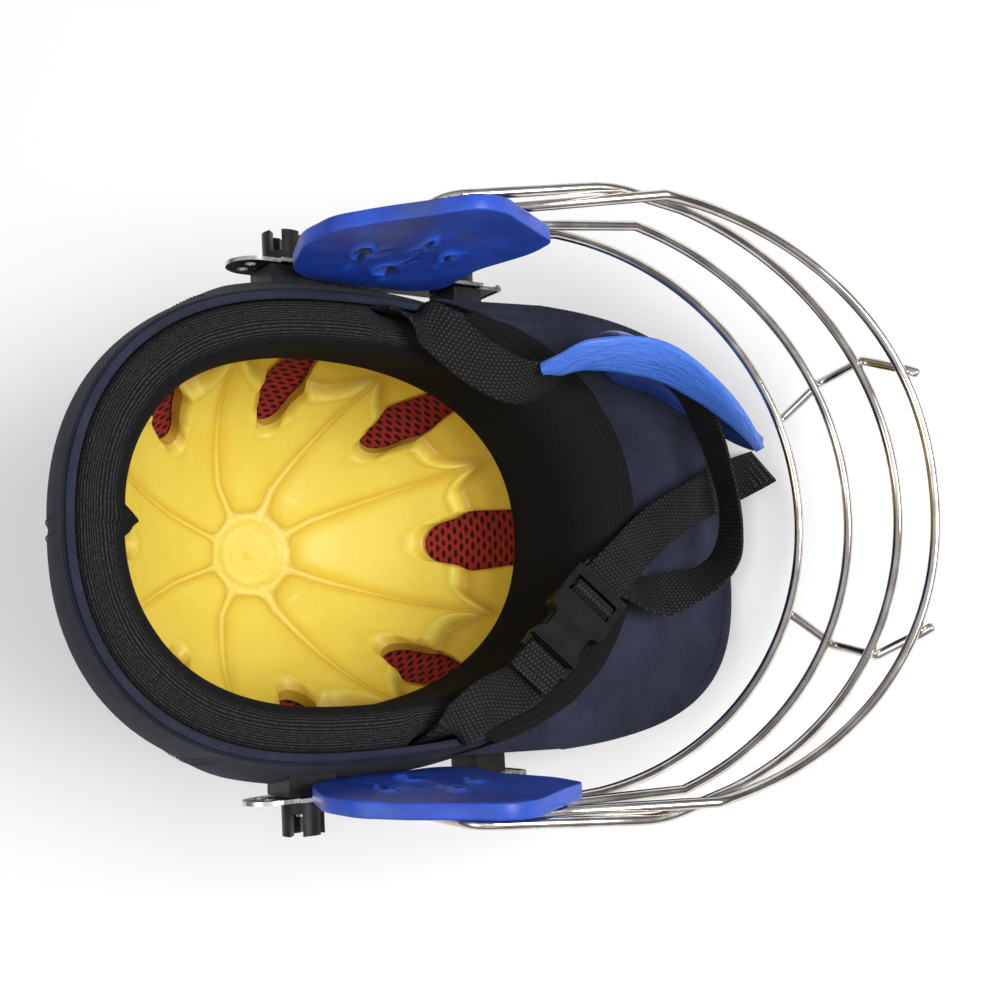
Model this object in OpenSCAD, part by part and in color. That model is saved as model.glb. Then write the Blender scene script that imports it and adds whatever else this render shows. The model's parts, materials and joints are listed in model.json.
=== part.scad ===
// Batting helmet with a wire face guard, lying crown down and tipped onto the front edge of its peak.
// Every piece is drawn in the helmet's own frame: X forward, Y to the wearer's right, Z from the crown
// towards the head opening, with the rim plane at Z = 0. lay() then sets the whole helmet down.

/* [Shell] */
// Crown axis to the back of the shell, at the rim
shell_back = 119; // [105:1:130]
// Crown axis to the brow of the shell, at the rim
shell_front = 137; // [125:1:150]
// Half of the greatest width of the shell
shell_half_w = 100; // [92:1:106]
// Rim plane to the outside of the crown
shell_h = 147; // [135:1:155]
// Crown axis ahead of the middle of the helmet
crown_x = -10; // [-14:1:-6]
// Depth below the rim at which the sides are widest
bulge_depth = 37; // [30:1:42]
// How far each side draws in from its widest point up to the rim
side_tuck = 7; // [4:0.5:9]
// Squareness of the shell in plan, 2 is an ellipse
plan_power = 2.2; // [2:0.1:2.4]
// Squareness of the shell's profile at the brow, 2 is an ellipse
front_power = 2.3; // [2.1:0.05:2.5]
// Squareness of the shell's profile at the sides
side_power = 2.1; // [2:0.05:2.4]
// Squareness of the shell's profile at the back
back_power = 1.75; // [1.7:0.05:2.2]
// Height of the rim at the nape
rim_back_z = 2; // [0:0.5:4]
// Height of the rim at the brow
rim_front_z = -4; // [-6:0.5:-2]
// Moulded shell wall
shell_t = 3; // [2.4:0.2:3.6]
// Cloth skin over the shell
cloth_t = 1; // [0.8:0.1:1.2]
// Radius of the piping along the rim
piping_r = 1.5; // [1.2:0.1:1.8]

/* [Lining] */
// Knitted spacer mesh between shell and liner
mesh_t = 2.4; // [2:0.2:3.4]
// Moulded foam liner at its thinnest
liner_t = 7.4; // [6:0.2:9]
// How far each puffed panel of the liner stands above the shelf near the rim
panel_puff = 3.5; // [2:0.25:4.5]
// Height of each moulded rib above the panels beside it
rib_h = 1.6; // [1:0.1:2]
// Number of ribs and panels in the liner
rib_count = 8; // [8:1:8]
// Radius of the round hub in the crown of the liner
hub_r = 17; // [14:1:20]
// Depth of the lower edge of the headband below the rim
band_depth = 48; // [44:1:52]
// Headband pad from the shell's outside to its inner face
band_reach = 26; // [23:0.5:28]
// How far the top of the headband pad stands above the rim
band_crown = 2.5; // [1.5:0.25:3.5]

/* [Peak] */
// Front of the peak ahead of the crown axis
peak_reach = 200; // [190:1:206]
// Half of the width of the peak
peak_half_w = 96; // [90:1:98]
// Middle of the front edge of the peak, relative to the rim plane
peak_tip_z = -6; // [-9:0.5:-3]
// How much higher the corners of the peak sit than its middle
peak_arch = 7; // [4:0.5:9]
// Stiffener board inside the peak
peak_board_t = 2.4; // [1.8:0.2:3]

/* [Side plates] */
// Inner face of each plate out from the widest part of the shell
plate_stand = 4; // [3:0.5:8]
// Thickness of the steel plate
plate_t = 1.6; // [1.2:0.2:2]
// Height of the plate
plate_h = 26; // [24:1:28]
// Rear screw along the helmet
rear_screw_x = -32; // [-36:1:-28]
// Front screw along the helmet
front_screw_x = 50; // [46:1:54]
// Height of both screws
screw_z = -19; // [-22:1:-17]
// Tail of the plate behind the rear screw
plate_tail = 24; // [20:1:28]
// Nose of the plate ahead of the front screw
plate_nose = 17; // [14:1:19]
// Radius of the small holes in the plate's tail
plate_hole_r = 2.2; // [1.8:0.1:2.4]
// Distance between the two small holes
plate_hole_gap = 8; // [7:0.5:9]
// Tilt of the grille away from the peak that the front slot allows, in degrees
tilt_up = 5; // [3:0.5:6]
// Tilt of the grille towards the peak that the front slot allows, in degrees
tilt_down = 2.5; // [1.5:0.5:3]

/* [Fasteners] */
// Radius of the side screws
screw_r = 2.5; // [2:0.1:3]
// Radius of the screw heads
screw_head_r = 4.2; // [4:0.2:6]
// Thickness of the screw heads
screw_head_t = 1.8; // [1.6:0.1:2.4]
// Radius of the castle thumb nuts
nut_r = 8.2; // [7:0.2:8.8]
// Length of the castle thumb nuts
nut_l = 13; // [12:1:18]
// Depth of the slots in the castle thumb nuts
nut_slot_depth = 8.5; // [8:0.5:12]
// Width of the slots in the castle thumb nuts
nut_slot_w = 5; // [4:0.5:6]

/* [Grille] */
// Radius of the grille wire
wire_r = 2.05; // [1.75:0.05:2.25]
// Height of the top bar in front of the face
top_bar_z = 45; // [42:1:47]
// Height of the second bar in front of the face
upper_bar_z = 63; // [61:1:66]
// Height of the third bar in front of the face
lower_bar_z = 89; // [86:1:91]
// Height of the chin bar in front of the face
chin_bar_z = 113; // [110:1:116]
// Reach of the top bar ahead of the helmet's middle
top_bar_reach = 187; // [184:1:191]
// Reach of the second bar
upper_bar_reach = 199; // [195:1:202]
// Reach of the third bar
lower_bar_reach = 200.5; // [197:0.5:204]
// Reach of the chin bar
chin_bar_reach = 194; // [190:1:198]
// How far the top bar swings out past its weld on the plate
top_bar_flare = 3.3; // [2.5:0.1:6]
// How far the second bar swings out
upper_bar_flare = 8.8; // [6:0.1:11]
// How far the third bar swings out
lower_bar_flare = 6.8; // [5:0.1:9]
// How far the chin bar swings out
chin_bar_flare = 5.3; // [4:0.1:7]
// How far the front of the grille is turned to the right, in degrees
grille_yaw = 1.6; // [0:0.2:2]
// Upright struts from the middle plane, at the top bar
strut_y = 42.5; // [38:0.5:46]

/* [Side pads] */
// Thickness of the foam side pads
pad_t = 6; // [5:0.5:6.5]
// Lean of the side pads out from the face, in degrees
pad_lean = 3; // [2:0.5:4]
// Lower edge of the side pads
pad_z = -7; // [-8:0.5:-4]

/* [Chin strap] */
// Width of the webbing
strap_w = 20; // [18:1:22]
// Thickness of the webbing
strap_t = 1.4; // [1.2:0.1:1.6]
// Rivet of the right webbing along the helmet
right_anchor_x = -3; // [-6:1:0]
// Rivet of the left webbing along the helmet
left_anchor_x = 20; // [17:1:23]
// Thickness of each layer of the chin cup
cup_t = 2.2; // [1.8:0.2:2.6]

/* [Buckle] */
// Width of the buckle socket
buckle_w = 28; // [26:1:30]
// Length of the buckle socket with its ladder
buckle_l = 40; // [38:1:42]
// Thickness of the buckle socket
buckle_t = 8.5; // [8:0.5:9]
// Travel of the buckle plug until it is out of the socket
plug_travel = 18; // [16:1:20]

/* [Hidden] */

// Clearance between pieces that lie on each other
fit = 0.2;
// Radial clearance of a nut or plate that turns on its screw
run_fit = 0.05;
// Clearance between bodies that move past each other
gap = 0.4;

// How far the flat facets of a curved layer lie inside its true curve
facet_sag = 0.8;

// Layers of the helmet wall, each as a distance in from the cloth's outer face
shell_out = cloth_t + fit;
shell_in = shell_out + shell_t;
mesh_out = shell_in + facet_sag;
mesh_in = mesh_out + mesh_t;
liner_out = mesh_in + facet_sag + fit;
liner_in = liner_out + liner_t;
band_out = shell_in + facet_sag + screw_head_t + strap_t + 2 * fit;

// Inner face of each side plate from the middle plane
plate_y = shell_half_w + plate_stand;

wall_cols = 48;
wall_rows = 11;
cap_share = 0.95;

navy = [0.11, 0.13, 0.24];
black = [0.09, 0.09, 0.10];
plastic = [0.05, 0.05, 0.06];
yellow = [0.93, 0.80, 0.22];
red = [0.75, 0.10, 0.10];
blue = [0.08, 0.22, 0.72];
steel = [0.75, 0.75, 0.77];

function bend(v, p) = sign(v) * pow(abs(v), p);
function lerp(a, b, t) = a + (b - a) * t;
function unit(v) = v / norm(v);

// Height of the rim at azimuth a
function rim_z(a) = lerp(rim_back_z, rim_front_z, (1 + cos(a)) / 2);

function profile_power(a) = lerp(cos(a) > 0 ? front_power : back_power, side_power, pow(sin(a), 2));

// Point on the egg-shaped wall at azimuth a and height z, moved in from the outer face by off
function wall_pt(a, z, off) =
    let (len = (cos(a) > 0 ? shell_front : shell_back) - off)
    let (half = shell_half_w - off)
    let (wide_z = -bulge_depth * pow(sin(a), 2))
    let (deep = shell_h - off + wide_z)
    let (n = profile_power(a))
    let (k = z < wide_z
        ? pow(max(0, 1 - pow((wide_z - z) / deep, n)), 1 / n)
        : 1 - side_tuck / half * pow(sin(a) * (z - wide_z) / bulge_depth, 2))
    [crown_x + len * k * bend(cos(a), 2 / plan_power), half * k * bend(sin(a), 2 / plan_power), z];

// Height of the wall at the share s of the way from the start height to the crown
function wall_z(start, s, off) = start - (shell_h - off + start) * pow(sin(90 * s), 0.87);

// Point on the wall at azimuth a where its plan is the share k of its greatest size
function crown_pt(a, k, off) =
    let (wide_z = -bulge_depth * pow(sin(a), 2), n = profile_power(a))
    let (z = wide_z - (shell_h - off + wide_z) * pow(1 - pow(k, n), 1 / n))
    wall_pt(a, z, off);

// Height of the wall above the place x, y near the crown
function crown_z(x, y, off) =
    let (u = (x - crown_x) / ((x > crown_x ? shell_front : shell_back) - off), v = y / (shell_half_w - off))
    crown_pt(atan2(v, u), norm([u, v]), off).z;

// Half width of the wall at the place x along the helmet and the height z
function wall_y(x, z, off) = lookup(x, [for (a = [150 : -2 : 30]) let (p = wall_pt(a, z, off)) [p.x, p.y]]);

// One ring of the wall, cols points round
function wall_ring(s, off, drop = 0, cols = wall_cols) =
    [for (i = [0 : cols - 1])
        let (a = 360 * i / cols)
        wall_pt(a, wall_z(rim_z(a) - drop, s, off), off)];

// A sheet between two grids of points, m + 1 rows of n. Cells for which open() holds are left out, and
// every edge of the sheet is closed. With wrap, each row is a ring and the first row is capped.
module sheet(outer, inner, wrap = false, tips = [], open = function (i, j) false) {
    n = len(outer[0]);
    m = len(outer) - 1;
    size = n * (m + 1);
    at = function (i, j) j * n + (i % n);
    gone = function (i, j) j < 0 || j >= m || (!wrap && (i < 0 || i >= n - 1))
        || open((i + n) % n, j);
    points = concat([for (r = outer) each r], [for (r = inner) each r], tips);
    skin = [for (j = [0 : m - 1], i = [0 : n - (wrap ? 1 : 2)]) if (!gone(i, j))
        each [[at(i + 1, j + 1), at(i + 1, j), at(i, j)], [at(i, j + 1), at(i + 1, j + 1), at(i, j)]]];
    lining = [for (f = skin) [f[2] + size, f[1] + size, f[0] + size]];
    wall = function (p, q) [[p + size, p, q], [q + size, p + size, q]];
    walls = [for (j = [0 : m - 1], i = [0 : n - (wrap ? 1 : 2)]) if (!gone(i, j)) each concat(
        gone(i, j + 1) ? wall(at(i + 1, j + 1), at(i, j + 1)) : [],
        gone(i, j - 1) && len(tips) == 0 || (j > 0 && gone(i, j - 1)) ? wall(at(i, j), at(i + 1, j)) : [],
        gone(i + 1, j) ? wall(at(i + 1, j), at(i + 1, j + 1)) : [],
        gone(i - 1, j) ? wall(at(i, j + 1), at(i, j)) : [])];
    caps = len(tips) == 0 ? [] : [for (i = [0 : n - 1]) each
        [[2 * size, at(i, 0), at(i + 1, 0)], [2 * size + 1, at(i + 1, 0) + size, at(i, 0) + size]]];
    polyhedron(points = points, faces = concat(skin, lining, walls, caps), convexity = 10);
}

// A tube through rings of points, closed on itself or capped at both ends
module tube(rings, closed = false) {
    n = len(rings[0]);
    m = len(rings);
    last = closed ? m - 1 : m - 2;
    mid = function (r) [for (k = [0 : 2]) [for (p = r) p[k]] * [for (p = r) 1] / n];
    points = concat([for (r = rings) each r], closed ? [] : [mid(rings[0]), mid(rings[m - 1])]);
    at = function (i, j) (j % m) * n + (i % n);
    side = [for (j = [0 : last], i = [0 : n - 1]) each
        [[at(i, j), at(i + 1, j), at(i + 1, j + 1)], [at(i, j), at(i + 1, j + 1), at(i, j + 1)]]];
    caps = closed ? [] : [for (i = [0 : n - 1]) each
        [[at(i + 1, 0), at(i, 0), m * n], [at(i, m - 1), at(i + 1, m - 1), m * n + 1]]];
    polyhedron(points = points, faces = concat(side, caps), convexity = 10);
}

// Directions along a path, and a normal carried along it without twist
function headings(path) = [for (i = [0 : len(path) - 1])
    unit(path[min(i + 1, len(path) - 1)] - path[max(i - 1, 0)])];
function square_to(v, t) = unit(v - (v * t) * t);
function carried(dirs, start) = [for (i = 0, v = square_to(start, dirs[0]); i < len(dirs);
    i = i + 1, v = i < len(dirs) ? square_to(v, dirs[i]) : v) v];

// A round wire along a path
module wire(path, r, sides = 8, start = [0, 1, 0]) {
    dirs = headings(path);
    ups = carried(dirs, start);
    tube([for (i = [0 : len(path) - 1])
        let (side = cross(dirs[i], ups[i]))
        [for (k = [0 : sides - 1]) path[i] + r * (cos(360 * k / sides) * ups[i]
            - sin(360 * k / sides) * side)]]);
}

// A path whose inner corners are rounded over the length r, in steps
function rounded_path(pts, r, steps = 5) = [for (i = [0 : len(pts) - 1]) each
    i == 0 || i == len(pts) - 1 ? [pts[i]] :
    let (a = pts[i] + r * unit(pts[i - 1] - pts[i]))
    let (b = pts[i] + r * unit(pts[i + 1] - pts[i]))
    [for (k = [0 : steps]) let (t = k / steps)
        (1 - t) * (1 - t) * a + 2 * t * (1 - t) * pts[i] + t * t * b]];

// A smooth curve through the points, in steps per stretch
function spline(pts, steps = 4) = let (n = len(pts) - 1) concat(
    [for (i = [0 : n - 1], k = [0 : steps - 1])
        let (p0 = pts[max(i - 1, 0)], p1 = pts[i], p2 = pts[i + 1], p3 = pts[min(i + 2, n)], t = k / steps)
        0.5 * (2 * p1 + (p2 - p0) * t + (2 * p0 - 5 * p1 + 4 * p2 - p3) * t * t
            + (3 * p1 - p0 - 3 * p2 + p3) * t * t * t)],
    [pts[n]]);

// Flat webbing: each station is a point on the centre line and the direction across the webbing
module ribbon(stations, across, w = strap_w, t = strap_t, steps = 4) {
    path = spline(stations, steps);
    wide = spline(across, steps);
    dirs = headings(path);
    rows = function (lift) [for (i = [0 : len(path) - 1])
        let (v = square_to(wide[i], dirs[i]))
        let (up = cross(v, dirs[i]))
        [path[i] - w / 2 * v + lift * up, path[i] + w / 2 * v + lift * up]];
    sheet(rows(t / 2), rows(-t / 2));
}

// The helmet rests on the dome and on the front edge of the peak: the steepest line from the edge
// back to the dome's outline gives the angle at which it lies
rest_edge = [crown_x + peak_reach, 0, peak_tip_z - peak_board_t / 2 - cloth_t - fit];
dome_line = [for (k = [0 : wall_rows]) let (s = cap_share * k / wall_rows)
    wall_pt(0, wall_z(rim_z(0), s, 0), 0)];
lay_angle = max([for (p = dome_line) atan2(rest_edge.z - p.z, rest_edge.x - p.x)]);
lay_height = rest_edge.x * sin(lay_angle) - rest_edge.z * cos(lay_angle);

// Ends of the laid helmet: the back of the dome and the front of the chin bar
lay_back = min([for (k = [0 : wall_rows])
    let (p = wall_pt(180, wall_z(rim_z(180), cap_share * k / wall_rows, 0), 0))
    p.x * cos(lay_angle) + p.z * sin(lay_angle)]);
lay_front = chin_bar_reach * cos(lay_angle) + chin_bar_z * sin(lay_angle) + wire_r;

module lay() {
    translate([-(lay_back + lay_front) / 2, 0, lay_height]) rotate([0, lay_angle, 0]) children();
}

// The wearer's left side is the mirror image of the right
module left() {
    mirror([0, 1, 0]) children();
}

// Axis of a side screw, pointing out from the right side
module at_screw(x, y) {
    translate([x, y, screw_z]) rotate([-90, 0, 0]) children();
}

module screw_holes(r) {
    for (x = [rear_screw_x, front_screw_x], side = [0, 1])
        mirror([0, side, 0]) at_screw(x, 0) cylinder(r = r, h = plate_y, $fn = 32);
}

module outer_shell() {
    rows = [for (k = [wall_rows : -1 : 0]) cap_share * k / wall_rows];
    color(plastic) difference() {
        sheet([for (s = rows) wall_ring(s, shell_out)], [for (s = rows) wall_ring(s, shell_in)], true,
            [[crown_x, 0, -shell_h + shell_out], [crown_x, 0, -shell_h + shell_in]]);
        screw_holes(screw_r + fit);
        strap_rivet_holes();
    }
}

module shell_cover() {
    rows = [for (k = [wall_rows : -1 : 0]) cap_share * k / wall_rows];
    turned = function (off, lift) [for (i = [0 : wall_cols - 1]) let (a = 360 * i / wall_cols)
        wall_pt(a, rim_z(a) + lift, off)];
    color(navy) difference() {
        sheet(concat([for (s = rows) wall_ring(s, 0)],
                [turned(0.4, fit + cloth_t * 0.7), turned(shell_out, fit + cloth_t),
                    turned(shell_in, fit + cloth_t)]),
            concat([for (s = rows) wall_ring(s, cloth_t)],
                [turned(cloth_t, fit * 0.5), turned(shell_out, fit), turned(shell_in, fit)]),
            true, [[crown_x, 0, -shell_h], [crown_x, 0, -shell_h + cloth_t]]);
        screw_holes(screw_r + fit);
    }
}

module rim_piping() {
    lift = fit + cloth_t + piping_r + fit / 2;
    color(navy) tube([for (i = [0 : wall_cols - 1])
        let (a = 360 * i / wall_cols)
        let (mid = wall_pt(a, rim_z(a) + lift, shell_in - piping_r))
        let (out = unit([mid.x - crown_x, mid.y, 0]))
        [for (k = [0 : 5]) mid + piping_r * (cos(60 * k) * out + sin(60 * k) * [0, 0, 1])]],
        closed = true);
}

// Peak: u runs across from -1 at the left root to 1 at the right root, v from the shell to the edge
peak_root_a = 76;
peak_cols = 28;
peak_rows = 3;
peak_power = 3.4;
peak_mid_x = crown_x + 50;
function peak_z(y, v) = peak_tip_z + peak_arch * pow(y / peak_half_w, 2) - 2 * (1 - v);
function peak_edge(u) = let (a = 84 * u)
    [peak_mid_x + (crown_x + peak_reach - peak_mid_x) * bend(cos(a), 2 / peak_power),
        peak_half_w * bend(sin(a), 2 / peak_power)];
function peak_pt(u, v, lift, inset) =
    let (edge = peak_edge(u))
    let (root = wall_pt(peak_root_a * u, peak_tip_z, -2 * fit))
    let (reach = norm([edge.x - root.x, edge.y - root.y]))
    let (t = v * max(0, 1 - inset / reach))
    let (x = lerp(root.x, edge.x, t), y = lerp(root.y, edge.y, t))
    [x, y, peak_z(y, v) + lift];
module peak_layer(bottom, top, inset = 0) {
    us = [for (i = [0 : peak_cols]) -1 + 2 * i / peak_cols];
    grid = function (lift) [for (u = us) [for (j = [0 : peak_rows]) peak_pt(u, j / peak_rows, lift, inset)]];
    sheet(grid(top), grid(bottom));
}

module peak_board() {
    color(plastic) peak_layer(-peak_board_t / 2, peak_board_t / 2, 1.5);
}

module peak_cloth_under() {
    color(navy) peak_layer(peak_board_t / 2 + fit, peak_board_t / 2 + fit + cloth_t);
}

module peak_cloth_top() {
    color(navy) peak_layer(-peak_board_t / 2 - fit - cloth_t, -peak_board_t / 2 - fit);
}

mesh_rows = 8;
module spacer_mesh() {
    edge = band_depth + fit;
    rows = [for (k = [mesh_rows : -1 : 0]) cap_share * k / mesh_rows];
    color(red) sheet([for (s = rows) wall_ring(s, mesh_out, edge)],
        [for (s = rows) wall_ring(s, mesh_in, edge)], true,
        [[crown_x, 0, -shell_h + mesh_out], [crown_x, 0, -shell_h + mesh_in]]);
}

// Liner: ribs fan out from a round hub, and between two ribs lies a puffed panel with a slot. Each panel
// has six columns of points: its rib, the groove beside it, three for its slot and the next groove
rib_angles = [-25, 25, 66, 100, 151, 209, 260, 294];
slot_angles = [0, 49, 85, 122, 180, 238, 275, 311];
slot_halves = [9.5, 7.5, 5, 7.5, 8, 7.5, 5, 7.5];
tip_shares = [0.74, 0.71, 0.67, 0.64, 0.66, 0.66, 0.78, 0.76];
groove_a = 2.5;
panel_cols = 6;
liner_cols = rib_count * panel_cols;
// Rows from the hub to the edge: radii round the hub, then shares of the way to the edge
hub_rows = [hub_r * 0.55, hub_r, hub_r + 3.5];
row_shares = [0.36, 0.54, 0.72, 0.78, 0.87, 0.9, 1];
liner_rows = len(hub_rows) + len(row_shares);
tip_row = 5;
lip_row = 7;
hub_mid = [0, -2];
function liner_a(i, j) =
    let (p = floor(i / panel_cols) % rib_count, c = i % panel_cols, front = p == 0)
    let (next = p == rib_count - 1 ? rib_angles[0] + 360 : rib_angles[p + 1])
    let (pinch = j == tip_row ? 0.5 : j == liner_rows - 1 ? (front ? 0.75 : 0.4) : j >= lip_row ? 0.85 : 1)
    c == 0 ? rib_angles[p] : c == 1 ? rib_angles[p] + groove_a : c == 5 ? next - groove_a
        : slot_angles[p] + (c - 3) * pinch * slot_halves[p];
function edge_k(a) = let (drop = bulge_depth * pow(sin(a), 2), n = profile_power(a))
    pow(1 - pow(max(0, band_depth - drop) / (shell_h - drop), n), 1 / n);
function liner_relief(i, j) =
    let (c = i % panel_cols)
    j == 0 ? 1 : j == 1 ? 2.4 : j > lip_row ? 0.4
        : c == 0 ? (j == 2 ? 1.8 : panel_puff - 1 + rib_h)
        : j == 2 ? 0.2 : c == 1 || c == 5 ? panel_puff - 2.6 : c == 3 ? panel_puff : panel_puff - 0.4;
function liner_share(i, row) =
    let (tip = tip_shares[floor(i / panel_cols) % rib_count], c = i % panel_cols)
    c < 2 || c > 4 ? row_shares[row] : row == 2 ? tip + (c == 3 ? 0 : 0.02)
        : row == 3 ? max(row_shares[3], tip + 0.05) : row_shares[row];
function liner_pt(i, j, off, lift) =
    let (a = liner_a(i, j), in = off + lift, row = j - len(hub_rows))
    row == len(row_shares) - 1 ? wall_pt(a, rim_z(a) - band_depth - fit, in)
        : row >= 0 ? crown_pt(a, edge_k(a) * liner_share(i, row), in)
        : let (q = crown_pt(a, edge_k(a) * row_shares[0], in), way = unit([q.x, q.y] - hub_mid))
            let (xy = hub_mid + hub_rows[j] * way)
            [xy.x, xy.y, crown_z(xy.x, xy.y, in)];
module crown_liner() {
    rows = function (off, raised) [for (j = [0 : liner_rows - 1]) [for (i = [0 : liner_cols - 1])
        liner_pt(i, j, off, raised ? liner_relief(i, j) : 0)]];
    top = [hub_mid.x, hub_mid.y, -shell_h];
    color(yellow) sheet(rows(liner_out, false), rows(liner_in - panel_puff, true), true,
        [top + [0, 0, liner_out], top + [0, 0, liner_in - panel_puff + 0.6]],
        function (i, j) j >= tip_row && (i % panel_cols == 2 || i % panel_cols == 3));
}

// Headband pad: a knit-covered foam roll all round, notched where the chin strap passes down to its rivet
notch_half = strap_w / 2 + 11;
function notch_x(side) = side > 0 ? right_anchor_x + strap_lean * 22 : left_anchor_x;
function band_lip(a) = let (p = wall_pt(a, 0, 0))
    abs(p.x - notch_x(p.y)) < notch_half ? band_out : shell_in + facet_sag + fit;
module headband_pad() {
    color(black) tube([for (i = [0 : wall_cols - 1])
        let (a = 360 * i / wall_cols, z0 = rim_z(a), lip = band_lip(a))
        [for (p = [[band_out, -band_depth + 3], [band_out, -7], [lip, -4], [lip, 0],
                [lerp(lip, band_reach, 0.2), band_crown], [lerp(lip, band_reach, 0.55), band_crown - 0.7],
                [band_reach - 4, -2.5], [band_reach - 1, -8], [band_reach, -16],
                [band_reach, -band_depth + 7],
                [band_reach - 3, -band_depth + 1], [band_out + 3, -band_depth]])
            wall_pt(a, z0 + p[1], p[0])]], closed = true);
}

// Outline of a slot along an arc about the origin, half an opening either way
function slot_outline(reach, half, r) =
    let (end = function (t) reach * [cos(t), sin(t)], way = function (t) r * [cos(t), sin(t)])
    concat([for (t = [-half : 1 : half]) end(t) + way(t)],
        [for (k = [1 : 7]) end(half) + way(half + 22.5 * k)],
        [for (t = [half : -1 : -half]) end(t) - way(t)],
        [for (k = [1 : 7]) end(-half) + way(180 - half + 22.5 * k)]);

// Side plates, flat steel with a round tail, a slot for the front screw and a turned-in nose
module plate_outline() {
    r = plate_h / 2;
    translate([rear_screw_x - plate_tail + r - 2, 0]) circle(r = r - 2, $fn = 48);
    translate([rear_screw_x - plate_tail + r - 2, -r + 2]) square([plate_tail, plate_h - 4]);
    translate([rear_screw_x - r / 2, -r]) square([front_screw_x - rear_screw_x + r, plate_h]);
    translate([front_screw_x + 4, -r + 4]) square([plate_nose - 4, plate_h - 8]);
}

module side_plate() {
    reach = front_screw_x - rear_screw_x;
    color(plastic)
        translate([0, plate_y + plate_t, screw_z]) rotate([90, 0, 0]) linear_extrude(plate_t) difference() {
            plate_outline();
            translate([rear_screw_x, 0]) {
                circle(r = screw_r + run_fit, $fn = 48);
                rotate((tilt_down - tilt_up) / 2)
                    polygon(slot_outline(reach, (tilt_up + tilt_down) / 2 + 1, screw_r + gap));
            }
            for (k = [-0.5, 0.5])
                translate([rear_screw_x - plate_tail + 8, k * plate_hole_gap])
                    circle(r = plate_hole_r, $fn = 32);
            for (k = [-0.5, 0.5])
                translate([rear_screw_x + 22, k * plate_hole_gap]) circle(r = plate_hole_r, $fn = 32);
        }
    color(plastic) translate([front_screw_x + plate_nose, plate_y + 0.75 * plate_t, screw_z])
        cylinder(r = plate_t, h = plate_h - 8, center = true, $fn = 24);
}

// Spacer blocks between shell and plate, with a face that follows the shell
module spacer(x, w) {
    h = plate_h - 6;
    face = [for (dz = [-h / 2, h / 2]) each [for (dx = [-w / 2, w / 2])
        [x + dx, wall_y(x + dx, screw_z + dz, 0) + 2 * gap, screw_z + dz]]];
    far = [for (p = face) [p.x, plate_y - gap, p.z]];
    color(plastic) difference() {
        polyhedron(points = concat(face, far), faces = [[3, 1, 0], [2, 3, 0], [5, 7, 4], [7, 6, 4],
            [5, 4, 0], [1, 5, 0], [7, 3, 2], [6, 7, 2], [6, 2, 0], [4, 6, 0], [7, 5, 1], [3, 7, 1]]);
        at_screw(x, 0) cylinder(r = screw_r + fit, h = plate_y + 1, $fn = 32);
    }
}

module rear_spacers() {
    for (side = [0, 1]) mirror([0, side, 0]) spacer(rear_screw_x, 20);
}

module front_spacers() {
    for (side = [0, 1]) mirror([0, side, 0]) spacer(front_screw_x, 14);
}

module side_screws() {
    end = plate_y + plate_t + nut_l - nut_slot_depth + 2;
    for (x = [rear_screw_x, front_screw_x], side = [0, 1])
        let (wall = [for (dx = [-screw_head_r, screw_head_r]) wall_y(x + dx, screw_z, shell_in)])
        let (seat = min(wall) - facet_sag - 3 * fit)
        color(steel) mirror([0, side, 0]) at_screw(x, seat) {
            translate([0, 0, -screw_head_t]) cylinder(r = screw_head_r, h = screw_head_t, $fn = 32);
            cylinder(r = screw_r, h = end - seat, $fn = 32);
        }
}

module thumb_nut(x) {
    base = nut_l - nut_slot_depth;
    color(plastic) at_screw(x, plate_y + plate_t + gap) difference() {
        cylinder(r = nut_r, h = nut_l, $fn = 48);
        translate([0, 0, -1]) cylinder(r = screw_r + run_fit, h = nut_l + 2, $fn = 32);
        translate([0, 0, base]) cylinder(r = nut_r - 3.6, h = nut_l, $fn = 32);
        for (turn = [45, 135])
            rotate(turn) translate([-nut_r - 1, -nut_slot_w / 2, base])
                cube([2 * nut_r + 2, nut_slot_w, nut_l]);
    }
}

// Grille wires: a weld stretch on the plate, a bend, the arm to the kink, then an oval round the face.
// The lower bar's arm bulges out past the arm of the chin bar, which crosses inside it.
// The front of the grille is set a little to one side
weld_y = plate_y + plate_t + wire_r + run_fit;
elbow_y = weld_y + 2.5;
arc_steps = 24;
function yawed(p) = [p.x * cos(grille_yaw) - p.y * sin(grille_yaw),
    p.x * sin(grille_yaw) + p.y * cos(grille_yaw), p.z];
// A bar is [mid x, reach, half width, front z, side z, squareness]
top_bar = [49.5, top_bar_reach, weld_y + top_bar_flare, top_bar_z, top_bar_z + 2, 2];
upper_bar = [54, upper_bar_reach, weld_y + upper_bar_flare, upper_bar_z, upper_bar_z - 1.5, 2];
lower_bar = [41.5, lower_bar_reach, weld_y + lower_bar_flare, lower_bar_z, lower_bar_z + 4.5, 2];
chin_bar = [55.5, chin_bar_reach, weld_y + chin_bar_flare, chin_bar_z, chin_bar_z - 14.5, 2.17];
bulge_pt = [56, weld_y + 9.3, lower_bar_z - 1.5];
function oval_pt(bar, phi) = [bar[0] + (bar[1] - bar[0]) * bend(cos(phi), 2 / bar[5]),
    bar[2] * bend(sin(phi), 2 / bar[5]), lerp(bar[3], bar[4], pow(sin(phi), 2))];
function bar_path(bar, weld_x, elbow, kink, bulge = []) =
    let (on = function (p, side) [p.x, side * p.y, p.z])
    let (arm = function (side) rounded_path([[weld_x, side * weld_y, screw_z - 4],
        [weld_x, side * weld_y, screw_z + plate_h / 2], on(elbow, side),
        each [for (p = bulge) yawed(on(p, side))], yawed(oval_pt(bar, side * kink))], 9, 4))
    let (left_arm = arm(-1))
    concat(arm(1), [for (k = [1 : arc_steps - 1]) yawed(oval_pt(bar, kink * (1 - 2 * k / arc_steps)))],
        [for (i = [len(left_arm) - 1 : -1 : 0]) left_arm[i]]);

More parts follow.
